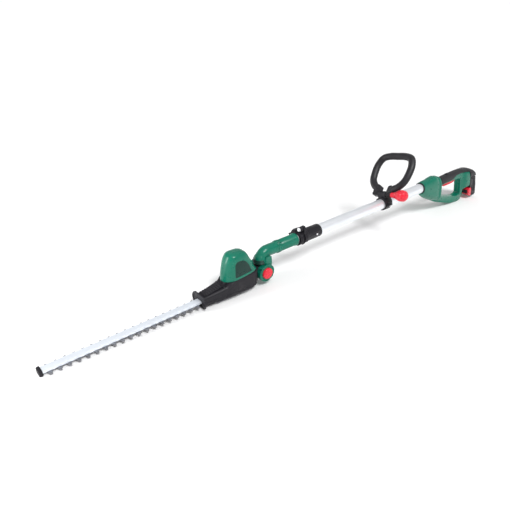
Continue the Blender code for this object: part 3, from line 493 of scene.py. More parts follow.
def smooth(rows, steps):
    """Rows of numbers with steps rows between neighbours, on a smooth curve through them all."""
    result = []
    last = len(rows) - 1
    for i in range(last):
        before, here, after, beyond = (rows[min(max(i + k, 0), last)] for k in (-1, 0, 1, 2))
        for k in range(steps):
            t = k / steps
            row = []
            for a, b, c, d in zip(before, here, after, beyond):
                row.append(
                    b
                    + 0.5 * t * (c - a)
                    + t * t * (a - 2.5 * b + 2 * c - 0.5 * d)
                    + 0.5 * t**3 * (3 * b - a - 3 * c + d)
                )
            result.append(tuple(row))
    return result + [tuple(rows[-1])]


def swept(path, radii, normal, count=48, flute=None):
    """A round bar along a flat path whose plane has the given normal; flute(angle) scales the radius."""
    rings = []
    for i, place in enumerate(path):
        ahead = path[min(i + 1, len(path) - 1)] - path[max(i - 1, 0)]
        side = ahead.normalized().cross(normal)
        ring = []
        for c, s in circle(count):
            reach = radii[i] * (flute(math.atan2(s, c)) if flute else 1.0)
            ring.append(place + (side * c + normal * s) * reach)
        rings.append(ring)
    return loft(rings)


def merged(*meshes):
    """Several separate closed shapes as one mesh, for a cutter."""
    whole = bmesh.new()
    for part in meshes:
        mesh = bpy.data.meshes.new("part")
        part.to_mesh(mesh)
        part.free()
        whole.from_mesh(mesh)
        bpy.data.meshes.remove(mesh)
    return whole


def rake(bm):
    """Leans a shape back, as the whole rear end of the tool leans."""
    for vertex in bm.verts:
        vertex.co.x += RAKE * (vertex.co.z - RAKE_Z)
    return bm


def shown(obj):
    """The object, put into the scene."""
    bpy.context.scene.collection.objects.link(obj)
    return obj


def to_mesh_object(name, bm, place):
    """An object in the frame's metres from a mesh in the millimetres of a place."""
    bmesh.ops.transform(bm, matrix=place, verts=bm.verts)
    bmesh.ops.recalc_face_normals(bm, faces=bm.faces)
    mesh = bpy.data.meshes.new(name)
    bm.to_mesh(mesh)
    bm.free()
    return shown(bpy.data.objects.new(name, mesh))


def settle(obj):
    """Applies an object's modifiers to its mesh."""
    bpy.context.view_layer.update()
    graph = bpy.context.evaluated_depsgraph_get()
    mesh = bpy.data.meshes.new_from_object(obj.evaluated_get(graph))
    obj.modifiers.clear()
    old = obj.data
    obj.data = mesh
    bpy.data.meshes.remove(old)


def piece(name, bm, body, slot, replaced=(), cuts=(), joins=(), bevel=0.0, place=TOOL, angle=38, within=()):
    """A visible piece: a mesh joined with others, cut, with round edges, riding on its body."""
    obj = to_mesh_object(name, bm, place)
    for operation, shapes in (("UNION", joins), ("INTERSECT", within), ("DIFFERENCE", cuts)):
        for shape in shapes:
            tool = to_mesh_object(name + "_tool", shape, place)
            boolean = obj.modifiers.new("shape", "BOOLEAN")
            boolean.operation = operation
            boolean.solver = "EXACT"
            boolean.object = tool
            settle(obj)
            bpy.data.objects.remove(tool)
    if bevel:
        round_edges(obj, bevel * MM, 3, angle).harden_normals = True
        settle(obj)
    obj.data.name = name
    obj.data.materials.clear()
    obj.data.materials.append(MATERIALS[slot])
    obj.data.shade_smooth()
    obj.data.set_sharp_from_angle(angle=math.radians(angle))
    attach(obj, body)
    if replaced:
        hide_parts(*replaced)
    return obj


# -------- cutting head


def make_tip_and_shield():
    outline = rounded([(0.0, -14.5, 5.0), (0.0, 14.5, 5.0), (9.0, 13.0, 1.0), (9.0, -13.0, 1.0)], 2.0)
    tip = prism(along(outline), -12.2, 0.9)
    groove = box(-2, 1.2, -9, 9, -6.6, -5.4)
    piece("tip_bumper", tip, "head", "black_plastic", ["tip_guard"], cuts=[groove], bevel=1.0)

    right = [(-27, 20.5, 17), (-35.5, 0, 10), (-29, -19.5, 9)]
    rim = rounded(right + mirrored(right), 8)
    middle = [(y * 0.84, 1.0 + (z - 1.0) * 0.82) for y, z in rim]
    front, rear = LENGTH / 2 - SHIELD, LENGTH / 2 - SHIELD - 4.5
    slot = box(SHIELD - 5, SHIELD + 10, -12.6, 12.6, -14.2, 1.2)
    dish = prism(middle, front - 1.1, front + 3, "YZ")
    shield = prism(rim, rear, front, "YZ")
    piece("shield", shield, "head", "black_plastic", ["hand_shield"], cuts=[dish, slot], bevel=1.1)


def make_bar():
    """The guide bar: a low crown, a fine groove along each flank, and rolled edges."""
    half = BAR_HALF
    side = [
        (half - 0.5, -BAR_THICK), (half, -BAR_THICK + 0.5), (half, -4.3),
        (half - 0.5, -4.0), (half - 0.5, -3.5), (half, -3.2), (half, -1.5),
        (half - 0.4, -0.8), (half - 1.6, -0.35), (half - 5.0, 0.1),
    ]
    section = side + [(0, 0.3)] + mirrored(side)
    front, rear = LENGTH / 2 - 9.3, LENGTH / 2 - 500.0
    piece("guide_bar", prism(section, rear, front, "YZ"), "head", "bar_aluminium", ["guard_bar"], angle=20)


def gearbox_section(station, half, low, high, shoulder, foot):
    """A section with round shoulders and a tucked-in foot, drawn with arcs."""
    left = [
        (half - foot, low, 1.5),
        (half, low + foot, 4.0),
        (half, high - shoulder, 3.0 + shoulder / 4),
        (half - shoulder, high, 1.5 + shoulder / 3),
    ]
    corners = left + mirrored(left)
    ring = []
    for i, (y, z, radius) in enumerate(corners):
        before = corners[i - 1]
        after = corners[(i + 1) % len(corners)]
        edges = [math.hypot(next_to[0] - y, next_to[1] - z) for next_to in (before, after)]
        reach = min(radius, 0.45 * min(edges))
        here = Vector((y, z))
        back = here + (Vector(before[:2]) - here).normalized() * reach
        ahead = here + (Vector(after[:2]) - here).normalized() * reach
        for k in range(5):
            t = k / 4
            place = back * (1 - t) ** 2 + here * 2 * t * (1 - t) + ahead * t * t
            ring.append(point(station, place.x, place.y))
    return ring


def dome_ring(level, front, rear, half, tilt, count=128):
    """One level of the motor cover: round in front of its widest place and boxy behind it."""
    widest = front + 0.38 * (rear - front)
    ring = []
    for k in range(count):
        angle = 2 * math.pi * (k + 0.5) / count
        c, s = math.cos(angle), math.sin(angle)
        reach, power = (widest - front, 2.15) if c < 0 else (rear - widest, 3.6)
        station = widest + reach * math.copysign(abs(c) ** (2 / power), c)
        across = half * math.copysign(abs(s) ** (2 / power), s)
        ring.append(point(station, across, level + tilt * (station - DOME_MIDDLE)))
    return ring


def make_gearbox():
    """The gearbox with a seat for the motor cover, a seam along each flank and two cover screws."""
    sections = (
        (457.0, 20.0, -18.0, 12.5, 4.0, 4.0),
        (490.0, 23.5, -18.8, 16.0, 5.0, 4.5),
        (520.0, 27.0, -19.0, 20.0, 5.0, 5.0),
        (538.0, 29.0, -19.0, 24.0, 5.0, 5.5),
        (556.0, 31.0, -19.0, 33.0, 2.0, 6.0),
        (620.0, 31.0, -19.0, 37.0, 2.0, 6.0),
        (642.0, 28.0, -15.0, 38.5, 2.0, 5.0),
        (HOUSING_REAR, 21.0, -6.0, 39.0, 2.0, 4.0),
    )
    body = loft([gearbox_section(*row) for row in smooth(sections, 4)])
    level, front, rear, half, tilt = DOME[0]
    seat = loft([dome_ring(base, front, rear, half, tilt, 96) for base in (15.0, level - 0.4)])
    cuts = [
        box(440, 530, -12.4, 12.4, -14.0, 1.4),
        prism(along(rounded([(522, -22.5), (640, -22.5), (640, 22.5), (522, 22.5)], 8, 4)), -16.5, 16),
        prism(along(rounded([(549, -24), (634, -24), (634, 24), (549, 24)], 10, 4)), 8, 60),
    ]
    for side in (1, -1):
        seam = []
        for station, half, *_ in sections:
            inner, outer = side * (half - 0.7), side * 45.0
            strip = ((inner, -5.4), (outer, -5.4), (outer, -4.6), (inner, -4.6))
            seam.append([point(station, y, z) for y, z in strip])
        cuts.append(loft(seam))
        cuts.append(upright(SCREW_STATION, side * SCREW_Y, 26, 20.4, 4.0, 32))
    piece("gear_housing", body, "head", "black_plastic", ["gearbox_housing"], cuts, [seat], 0.7)
    for side, name in SIDES:
        head = upright(SCREW_STATION, side * SCREW_Y, 18.6, 22.6, 3.5, 32)
        cross = []
        for long, wide in ((2.0, 0.4), (0.4, 2.0)):
            ends = (SCREW_STATION - long, SCREW_STATION + long)
            cross.append(box(*ends, side * SCREW_Y - wide, side * SCREW_Y + wide, 22, 24))
        piece(f"cover_screw_{name}", head, "head", "dark_steel", cuts=cross, bevel=0.3)


# One finger rib: how far along and how high above the slope
RIB = ((0.0, 0.0), (1.2, 1.9), (3.8, 2.3), (5.0, 0.6))


def make_ribbed_cover():
    """The finger ribs on the sloping nose of the gearbox."""
    outline = [(463.0, 14.6)]
    for i in range(8):
        start = 465.0 + 7.8 * i
        height = 14.8 + (start - 463.0) * 0.13
        for ahead, rise in RIB:
            outline.append((start + ahead, height + rise))
    outline += [(528.0, 23.6), (528.0, 22.1), (520.0, 20.4), (490.0, 16.4), (463.0, 13.6)]
    ribs = prism(along(outline), -14.8, 14.8, "XZ")
    piece("finger_ribs", ribs, "head", "black_plastic", ["gearbox_cover"], bevel=0.45, angle=20)


def dome(inset=0.0, steps=5):
    """The motor cover's skin, or its hollow when inset."""
    rings = []
    for level, front, rear, half, tilt in smooth(DOME, steps):
        drop = inset * (1.0 if level > 95 else 0.2)
        rings.append(dome_ring(level - drop, front + inset, rear - inset, max(half - inset, 2.5), tilt))
    return rings


def make_motor_cover():
    """Two shells that meet on the crown, each with a sunk dark panel that follows its side; the panel is partly
    its own dark colour and partly painted shade of the shaded flat side.
    """
    panel = [(563, 42, 4), (642, 46, 5), (619, 99, 7), (564, 99, 6)]
    plate = [(563.5, 42.5, 4), (641.3, 46.5, 5), (618.6, 98.5, 7), (564.5, 98.5, 6)]
    level, front, rear, half, tilt = DOME[0]
    inside = (front + DOME_WALL, rear - DOME_WALL, half - DOME_WALL, tilt)
    for side, name in SIDES:
        cuts = [
            loft([dome_ring(level - 12, *inside)] + dome(DOME_WALL, 3)),
            other_half(500, 700, side),
            prism(along(rounded(panel, 4)), *span(side, 27.4, 50), "XZ"),
        ]
        cover = f"motor_cover_{name}"
        piece(f"dome_{name}", loft(dome()), "head", "green_plastic", [cover], cuts=cuts, bevel=0.5)
        # The dark plate spreads over the flat side that lies in shade: partly painted shade
        shape = prism(along(rounded(plate, 4)), *span(side, 27.5, 50), "XZ")
        panel_name = f"dome_panel_{name}"
        hull = loft(dome(0.45))
        piece(panel_name, shape, "head", "dark_panel", [f"side_panel_{name}"], within=[hull], bevel=0.3)


def make_knuckle():
    """The barrel between the fork's cheeks, with fine ridges round it and a neck to the gearbox."""
    profile = [(-12.2, 24.0), (-11.6, 25.0)]
    for i in range(8):
        start = -9.8 + 2.6 * i
        profile += [(start, 25.0), (start + 0.4, 24.4), (start + 1.2, 24.4), (start + 1.6, 25.0)]
    profile += [(11.6, 25.0), (12.2, 24.0)]
    neck = box(HOUSING_REAR + GAP, PIVOT, -12.0, 12.0, -4, 36.5)
    bore = crossbar(PIVOT, PIVOT_Z, -20, 20, PIVOT_BORE)
    barrel = crosswise(profile)
    piece("knuckle", barrel, "head", "black_plastic", ["head_knuckle"], [bore], [neck], 0.3)


# -------- tilting joint and elbow


def elbow_path():
    """The elbow's centre line: up from the knuckle, round a bend and back along the pole."""
    bend = POLE_Z - 46.0
    path = [(ELBOW_START, 43.0 + 0.5 * k) for k in range(7)]
    for k in range(1, 28):
        angle = math.pi / 2 * k / 28
        path.append((ELBOW_START + bend * (1 - math.cos(angle)), 46.0 + bend * math.sin(angle)))
    path += [(ELBOW_START + bend + 3.0 * k, POLE_Z) for k in range(13)]
    return [point(s, 0, z) for s, z in path]


def elbow_radius(number):
    """A ribbed skirt at the foot that narrows into the plain pipe."""
    if number < 13:
        return BELLOWS_RADIUS - 0.9 * (number % 3 == 2) - 0.02 * number
    return ELBOW_RADIUS + (BELLOWS_RADIUS - ELBOW_RADIUS) * max(0.0, 1 - (number - 12) / 5)


def make_elbow():
    path = elbow_path()
    radii = [elbow_radius(i) for i in range(len(path))]
    arm = rounded([(680, 8, 2), (704, 8, 8), (708, 40, 8), (706, 66, 6), (684, 64, 4), (684, 40, 4)], 4)
    flange = ((738, 17.5), (741.5, 18.5), (743, 20.5), (753.4, 20.5), (ELBOW_END, 20.0))
    for side, name in SIDES:
        joins = [
            loft([oval(s, r, POLE_Z - r, POLE_Z + r) for s, r in flange]),
            crossbar(PIVOT, PIVOT_Z, *span(side, CHEEK_INNER, CHEEK_OUTER), CHEEK_RADIUS, 96),
            prism(along(arm), *span(side, CHEEK_INNER, 24.0), "XZ"),
        ]
        recess = (19.7, 40, 18.5) if side > 0 else (-40, -25, 12.0)
        groove = span(side, CHEEK_OUTER - 0.8, CHEEK_OUTER + 5)
        cuts = [
            other_half(600, 800, side),
            crossbar(PIVOT, PIVOT_Z, *groove, 25.4, 96),
            crossbar(PIVOT, PIVOT_Z, *recess, 96),
            crossbar(PIVOT, PIVOT_Z, -40, 40, PIVOT_BORE),
        ]
        pipe = swept(path, radii, Vector((0, 1, 0)), 96)
        shell = f"elbow_{name}"
        piece(f"elbow_shell_{name}", pipe, "front_pole", "green_plastic", [shell], cuts, joins, 0.6)


def make_bellows():
    """Dark ribs round the foot of the elbow, open where the fork's arms stand."""
    rings = []
    for k in range(37):
        height = 44.2 + 0.34 * k
        radius = 22.6 + 0.7 * math.sin(2 * math.pi * k / 7.2) - 0.035 * k
        ring = []
        for across, ahead in circle(96):
            ring.append(point(ELBOW_START + radius * ahead, radius * across, height))
        rings.append(ring)
    core = upright(ELBOW_START, 0, 40, 60, 20.5, 96)
    arms = box(679, 712, -40, 40, 40, 60)
    piece("bellows", loft(rings), "front_pole", "dark_panel", cuts=[core, arms], angle=60)


def make_tilt_button():
    """The red domed button in the near cheek, and the dished cap on the far one."""
    profile = [(25.0, 17.6), (33.2, 17.9), (34.4, 17.6), (35.2, 16.9), (35.5, 15.6), (35.1, 14.8)]
    profile.append((35.5, 14.0))
    for degrees in range(80, 4, -8):
        across, up = polar(1.0, degrees)
        profile.append((35.5 + 1.4 * across, 14.0 * up))
    cup = crossbar(PIVOT, PIVOT_Z, 20, 33.2, 12.5)
    button = crosswise(profile)
    piece("release_button", button, "tilt_button", "red_plastic", ["tilt_button"], cuts=[cup], angle=30)
    cap = crossbar(PIVOT, PIVOT_Z, -30.6, -26.8, 11.6, 96)
    dish = crossbar(PIVOT, PIVOT_Z, -34, -29.9, 8.6, 96)
    piece("far_cap", cap, "front_pole", "black_plastic", ["pivot_cap"], cuts=[dish], bevel=0.6)


# -------- pole


def make_sleeve():
    """The green sleeve: a collar at its rear, moulded ridges along it and a shallow band at its front."""
    profile = [(754.5, SLIDING_BORE), (SLEEVE_END, SLIDING_BORE), (SLEEVE_END, 20.2), (824.4, 20.6)]
    profile += [(818.6, 20.6), (817.4, 19.6), (816, 19.0), (758, 19.0), (757.4, 18.6), (755.2, 18.6)]
    profile.append((754.5, 18.2))
    ridges = []
    for degrees in (30, 150, 205, 335):
        across, up = polar(18.6, degrees)
        ridges.append(rod(760, 813, across, POLE_Z + up, 1.5, 24))
    sleeve = turned(profile)
    piece("sleeve", sleeve, "front_pole", "green_plastic", ["pole_sleeve"], joins=ridges, bevel=0.25)
    tube = [(757, 13.5), (1365, 13.5), (1365, 14.8), (1364.8, 15.0), (757.2, 15.0), (757, 14.8)]
    piece("sliding_tube", turned(tube), "front_pole", "tube_aluminium", ["inner_tube"])


def make_clamp():
    """The quick clamp: a ring with a lug, its pin, and the lever that wraps over the far side."""
    axis = CLAMP_PIN
    profile = [(CLAMP_FRONT, SLIDING_BORE), (CLAMP_REAR, SLIDING_BORE)]
    profile += [(CLAMP_REAR, 24.0), (CLAMP_FRONT, 24.0)]
    face = LENGTH / 2 - CLAMP_REAR
    lug = rounded([(-2, 88, 1), (18, 88, 1), (17, 113.5, 7.5), (-1, 113.5, 7.5)], 4)
    cuts = [
        rod(CLAMP_FRONT - 5, CLAMP_REAR + 5, *axis, 4.4),
        rod(CLAMP_FRONT - 5, CLAMP_REAR + 5, 0, POLE_Z, SLIDING_BORE, 96),
    ]
    for station in (837, 843, 849):
        cuts.append(turned([(station, 23.4), (station + 1.0, 23.4), (station + 1.0, 26), (station, 26)]))
    joins = [prism(lug, face, face + 7.0, "YZ")]
    piece("quick_clamp", turned(profile), "pole", "black_plastic", ["clamp_ring"], cuts, joins, 0.7)

    pin = rod(CLAMP_FRONT + 3, CLAMP_REAR + 1.5, *axis, 4.1)
    head = rod(CLAMP_FRONT + 1, CLAMP_FRONT + 4.6, *axis, 6.2)
    slot = box(CLAMP_FRONT - 1, CLAMP_FRONT + 2.0, axis[0] - 5, axis[0] + 5, axis[1] - 0.6, axis[1] + 0.6)
    piece("lever_pin", pin, "pole", "fastener_steel", ["clamp_pin"], cuts=[slot], joins=[head], bevel=0.4)

    low, high = CLAMP_FRONT + 5.0, CLAMP_REAR - 7.4
    arc = [polar(25.6, 86 + 104 * k / 40) for k in range(41)] + [(-40.0, -1.0), (-41.0, 2.5)]
    for k in range(40, -1, -1):
        lump = 0.9 * (k % 8 < 4) * (8 < k < 33)
        arc.append(polar(31.4 + lump, 86 + 88 * k / 40))
    arc = [(y, POLE_Z + z) for y, z in arc]
    lever = prism(arc, LENGTH / 2 - high, LENGTH / 2 - low, "YZ")
    hub = rod(low, high, *axis, 8.0, 64)
    bore = rod(low - 5, high + 5, *axis, 4.4)
    piece("lever", lever, "clamp_lever", "black_plastic", ["clamp_lever"], [bore], [hub], 0.8)


def make_collar_and_tube():
    """The collar has shallow lengthwise flutes behind its rim, and one screw on the near side."""
    outside = [
        (COLLAR_END, TUBE_BORE), (COLLAR_END, 20.6), (COLLAR_END - 2, 21.4), (869, 21.8),
        (868.2, 23.0), (867.4, 23.6), (858.2, 23.6), (857.5, 23.0), (857.5, SLIDING_BORE),
        (861.5, SLIDING_BORE), (861.5, TUBE_BORE),
    ]
    flutes = []
    for i in range(18):
        angle = 2 * math.pi * (i + 0.5) / 18
        across, up = math.cos(angle), math.sin(angle)
        flutes.append(rod(873, 894, 23.0 * across, POLE_Z + 23.0 * up, 1.8, 16))
    hole = crossbar(COLLAR_SCREW, POLE_Z, 10, 30, 3.4)
    collar = turned(outside)
    piece("collar", collar, "pole", "black_plastic", ["tube_collar"], [merged(*flutes), hole], bevel=0.3)
    screw = crossbar(COLLAR_SCREW, POLE_Z, 19.4, 22.9, 3.3)
    cross = []
    for long, high in ((0.3, 1.6), (1.6, 0.3)):
        ends = (COLLAR_SCREW - long, COLLAR_SCREW + long)
        cross.append(box(*ends, 22.4, 24, POLE_Z - high, POLE_Z + high))
    piece("collar_bolt", screw, "pole", "fastener_steel", ["collar_screw"], cuts=cross, bevel=0.3)
    radius = TUBE_RADIUS
    tube = [(TUBE_FRONT, 17.5), (TUBE_REAR, 17.5), (TUBE_REAR, radius - 0.3), (TUBE_REAR - 0.3, radius)]
    tube += [(TUBE_FRONT + 0.3, radius), (TUBE_FRONT, radius - 0.3)]
    piece("main_tube", turned(tube, 128), "pole", "tube_aluminium", ["outer_tube"])


# -------- loop handle


def clamp_place():
    """The handle clamp's own frame: its x runs along the pole and it rolls about the pole."""
    return TOOL @ Matrix.Translation(point(BOLT_STATION, 0, POLE_Z)) @ Matrix.Rotation(LOOP_ROLL, 4, "X")


def bolt_place():
    return clamp_place() @ Matrix.Translation((0, 0, BOLT_RISE))


def loop_place():
    return bolt_place() @ Matrix.Rotation(-LOOP_LEAN, 4, "Y")


def half_ring(inner, outer, start, stop, length, count=48):
    """Part of a ring round the pole, in the clamp's own frame."""
    ring = []
    for radius, order in ((inner, range(count + 1)), (outer, range(count, -1, -1))):
        ring += [polar(radius, start + (stop - start) * k / count) for k in order]
    return prism(ring, -length / 2, length / 2, "YZ")


def local_box(x, x_end, y, y_end, z, z_end):
    return box(LENGTH / 2 - x, LENGTH / 2 - x_end, y, y_end, z, z_end)


def make_handle_clamp():
    """A saddle on top of the pole and a strap below it, bored for the loop's bolt and their screws."""
    place = clamp_place()
    block = rounded([(-13, 21, 1), (13, 21, 1), (13, 30, 3), (9, 44, 6), (-9, 44, 6), (-13, 30, 3)], 3)
    tops, lows = [prism(block, -14, 14.8, "XZ")], []
    holes = []
    for side in (1, -1):
        edge = span(side, 21.5, 31.5)
        tops.append(local_box(-9, 9, *edge, 0.25, 6.6))
        lows.append(local_box(-9, 9, *edge, -6.6, -0.25))
        holes.append(cylinder(Vector((0, side * 28, -20)), Vector((0, side * 28, 20)), 2.2))
    bore = cylinder(Vector((0, -30, BOLT_RISE)), Vector((0, 30, BOLT_RISE)), 4.4)
    grooves = [local_box(x - 0.6, x + 0.6, -9, 9, 43.3, 48) for x in (-4, 0, 4)]
    shell = half_ring(TUBE_BORE, 24.5, 0.6, 179.4, 38)
    cuts = [bore, merged(*[hole.copy() for hole in holes]), merged(*grooves)]
    piece("saddle", shell, "handle_clamp", "black_plastic", ["handle_saddle"], cuts, tops, 0.7, place)
    bands = [half_ring(23.9, 26, 184, 356, 1.2) for _ in range(3)]
    for band, x in zip(bands, (-8, 0, 8)):
        bmesh.ops.translate(band, vec=(x, 0, 0), verts=band.verts)
    shell = half_ring(TUBE_BORE, 24.5, 180.6, 359.4, 30)
    cuts = [merged(*holes), merged(*bands)]
    piece("strap", shell, "handle_clamp", "black_plastic", ["handle_strap"], cuts, lows, 0.7, place)


def loop_flute(angle):
    """Four soft lengthwise ridges on the loop."""
    return 1.0 + 0.022 * math.cos(4 * angle)


def make_loop():
    """The rubber loop with its two stepped feet, one on each side of the saddle."""
    path = [Vector((0, y, z)) for y, z in smooth([*LOOP_LEFT, *mirrored(LOOP_LEFT[:-1])], 10)]
    last = len(path) - 1
    radii = [LOOP_RADIUS - 3.5 * max(0.0, 1 - min(i, last - i) / 10) for i in range(last + 1)]
    left = rounded([(-42, -8, 6), (-15.2, -8, 3), (-15.2, 30, 6), (-30, 36, 6), (-42, 20, 6)], 4)
    right = rounded([(15.2, -8, 3), (33, -8, 6), (36, 20, 6), (30, 36, 6), (15.2, 30, 6)], 4)
    joins = [prism(tab, -9.5, 9.5, "YZ") for tab in (left, right)]
    cuts = [cylinder(Vector((0, -60, 0)), Vector((0, 60, 0)), 4.5)]
    for end, stop in ((-60, -42.0), (36.1, 60)):
        cuts.append(cylinder(Vector((0, end, 0)), Vector((0, stop, 0)), 9.5))
    tube = swept(path, radii, Vector((1, 0, 0)), 64, loop_flute)
    piece("loop", tube, "loop_handle", "loop_rubber", ["loop_handle"], cuts, joins, 1.2, loop_place(), 42)


def make_knob():
    """The red clamping knob: a conical neck, eight soft lobes round its belly and a flat crown."""
    belly = [(36.4, 9.0), (45, 9.5), (53, 11.5), (62, 15.5), (71, 19.5)]
    belly += [(80, 21.5), (89, 20.6), (96, 16.5), (101, 9.5), (102.5, 4.0)]
    rings = []
    for y, radius in smooth(belly, 5):
        lobes = 0.035 * max(0.0, min(1.0, (y - 52) / 18)) * max(0.0, min(1.0, (101 - y) / 8))
        ring = []
        for c, s in circle(128):
            reach = radius * (1 + lobes * math.cos(8 * math.atan2(s, c)) - lobes)
            ring.append(Vector((reach * c, y, reach * s)))
        rings.append(ring)
    bore = cylinder(Vector((0, 30, 0)), Vector((0, 52, 0)), 4.5)
    piece("knob", loft(rings), "handle_knob", "red_plastic", ["handle_knob"], [bore], place=bolt_place())


# -------- rear handle


def nose():
    """The housing's nose round the pole, which deepens backwards and ends in a lip."""
    sections = (
        (1514, 22.5, 51.0, 95.5, 2.0, 0.0),
        (1532, 23.5, 35.0, 99.0, 2.1, 0.0),
        (1555, 24.5, 20.0, 101.0, 2.3, 0.0),
        (1582, 25.5, 7.0, 104.0, 2.6, 0.05),
        (1604, 26.0, -2.0, 105.0, 2.8, 0.12),
        (1619, 25.4, -8.0, 100.5, 3.0, 0.19),
    )
    lip = (
        (1624, 25.5, -9.0, 99.5, 3.0, 0.2),
        (1626, 26.2, -9.8, 100.3, 3.0, 0.2),
        (1628, 27.2, -11.0, 100.5, 3.0, 0.2),
        (1634, 27.4, -12.6, 98.9, 3.0, 0.2),
        (NOSE_REAR - 1, 27.0, -13.8, 97.0, 3.0, 0.2),
        (NOSE_REAR, 26.2, -13.4, 96.4, 3.0, 0.2),
    )
    rings = []
    for station, half, low, high, power, lean in smooth(sections, 6) + list(lip):
        ring = oval(station, half, low, high, power)
        for place in ring:
            place.x += lean * (place.z - 45.0)
        rings.append(ring)
    return loft(rings)


def grip_bar(grow=0.0):
    """The handle's upper bar, from inside the nose back to the battery mount."""
    sections = (
        (1618, 14.0, 50.0, 81.0),
        (1660, 14.0, 50.0, 82.0),
        (1700, 14.5, 50.5, 84.0),
        (1760, 14.5, 50.0, 85.5),
        (1800, 15.5, 44.0, 85.0),
        (1822, 20.0, 34.0, 82.5),
        (1846, 26.0, 26.0, 78.5),
    )
    return oval_bar(smooth(sections, 4), 2.7, 72, grow)


def guard():
    """The guard below the fingers and the pillar behind them, from their side view."""
    outer = [
        (1618, 4, 0), (1618, -8, 0), (1672, -26, 40), (1740, -47, 60), (1800, -57, 30),
        (1826, -56, 16), (1842, -38, 14), (1838, 0, 10), (1824, 70, 2), (1795, 70, 2),
        (1822, -26, 9), (1790, -28, 24), (1720, -11, 60), (1656, 6, 14), (1640, 20, 8),
        (1630, 20, 0),
    ]
    return prism(along(rounded(outer, 5)), -14.5, 14.5, "XZ")


def battery_mount(grow=0.0):
    """The mount behind the pillar, widening towards the battery."""
    sections = (
        (PILLAR - grow, 14.5, -18.0, 72.0),
        (PILLAR + 12, 20.0, -12.0, 76.0),
        (PILLAR + 26, 27.0, -6.0, 77.5),
        (BLOCK_REAR + grow, 29.0, -5.0, 77.5),
    )
    return rake(oval_bar(smooth(sections, 5), 4.0, 96, grow))


# Station, height and depth of the screws' pockets in the right-hand shell
HOUSING_SCREWS = ((1575, 24, -20), (1612, 4, -20), (1800, -42, -9), (1838, 20, -11))


def make_rear_housing():
    """Two green shells that meet in the middle, hollow where the pole, trigger and switch sit."""
    for side, name in SIDES:
        cuts = [
            other_half(1400, 2000, side),
            rod(1400, 1562, 0, POLE_Z, TUBE_BORE, 96),
            box(1500, NOSE_FRONT + GAP, -30, 30, 40, 110),
            box(1561, 1836, -11.2, 11.2, 54.0, 75.0),
            box(1672, 1780, -8.0, 8.0, 38.0, 56.0),
            box(*LOCK_POCKET),
            rake(box(BLOCK_REAR - 13, BLOCK_REAR + 9, -20.3, 20.3, 8.7, 40.3)),
        ]
        if side < 0:
            for station, level, bottom in HOUSING_SCREWS:
                cuts.append(crossbar(station, level, -40, bottom, 3.6, 32))
        shell = f"rear_housing_{name}"
        joins = [grip_bar(), guard(), battery_mount()]
        piece(f"rear_shell_{name}", nose(), "pole", "green_plastic", [shell], cuts, joins, 0.9, angle=32)
    profile = [(1510.5, TUBE_BORE), (NOSE_FRONT, TUBE_BORE), (NOSE_FRONT, 21.8)]
    profile += [(1512, 21.8), (1511, 21.5), (1510.5, 21.0)]
    piece("front_ring", turned(profile), "pole", "black_plastic", ["nose_ring"])


def make_soft_grip():
    """The soft skin over the upper bar and over the top and back of the battery mount."""
    sections = (
        (1645, 17.0, 46.0, 85.5),
        (1700, 17.8, 46.0, 88.0),
        (1760, 17.8, 46.0, 89.5),
        (1800, 18.8, 44.0, 89.0),
        (1830, 24.0, 40.0, 85.5),
        (1852, 30.0, 36.0, 82.5),
        (1880, 30.5, 36.0, 76.0),
        (1897, 29.8, 38.0, 67.0),
        (1905, 28.8, 40.0, 56.0),
    )
    skin = oval_bar(smooth(sections, 5), 2.9, 88)
    under = [
        (1640, 20), (1640, 60), (1735, 64), (1756, 76), (1792, 78),
        (BLOCK_REAR - 24, 75.5), (BLOCK_REAR + 0.6 - RAKE * (75.5 - RAKE_Z), 75.5),
        (BLOCK_REAR + 0.6 - RAKE * (46 - RAKE_Z), 46), (1950, 45), (1950, 20),
    ]
    cuts = [prism(along(under), -60, 60, "XZ"), grip_bar(0.4), battery_mount(0.4)]
    cuts.append(box(*LOCK_POCKET))
    piece("grip_skin", skin, "pole", "soft_rubber", ["soft_grip"], cuts, bevel=0.7)


def make_trigger():
    outline = [
        (1676, 44.5, 3), (1684, 41.5, 4), (1728, 40.5, 30), (1756, 43.5, 4),
        (1772, 51.5, 4), (1770, 61, 3), (1760, 62, 3), (1690, 60, 3), (1676, 56, 3),
    ]
    bore = crossbar(TRIGGER_STATION, TRIGGER_Z, -12, 12, 2.4)
    lever = prism(along(rounded(outline, 3)), -7.4, 7.4, "XZ")
    piece("trigger_lever", lever, "trigger", "red_plastic", ["trigger"], [bore], bevel=1.6)
    outline = [(1693, 76.6, 1), (1693, 88.6, 2), (1700, 90.6, 6)]
    outline += [(1712, 90.6, 6), (1719, 89.2, 2), (1719, 76.6, 1)]
    grooves = merged(*[box(s, s + 0.9, -5.5, 5.5, 90.0, 93) for s in (1701.5, 1704.5, 1707.5, 1710.5)])
    button = prism(along(rounded(outline, 2)), -7.0, 7.0, "XZ")
    body = "lock_off_button"
    piece("safety_button", button, body, "black_plastic", ["lock_off_button"], [grooves], bevel=0.7)


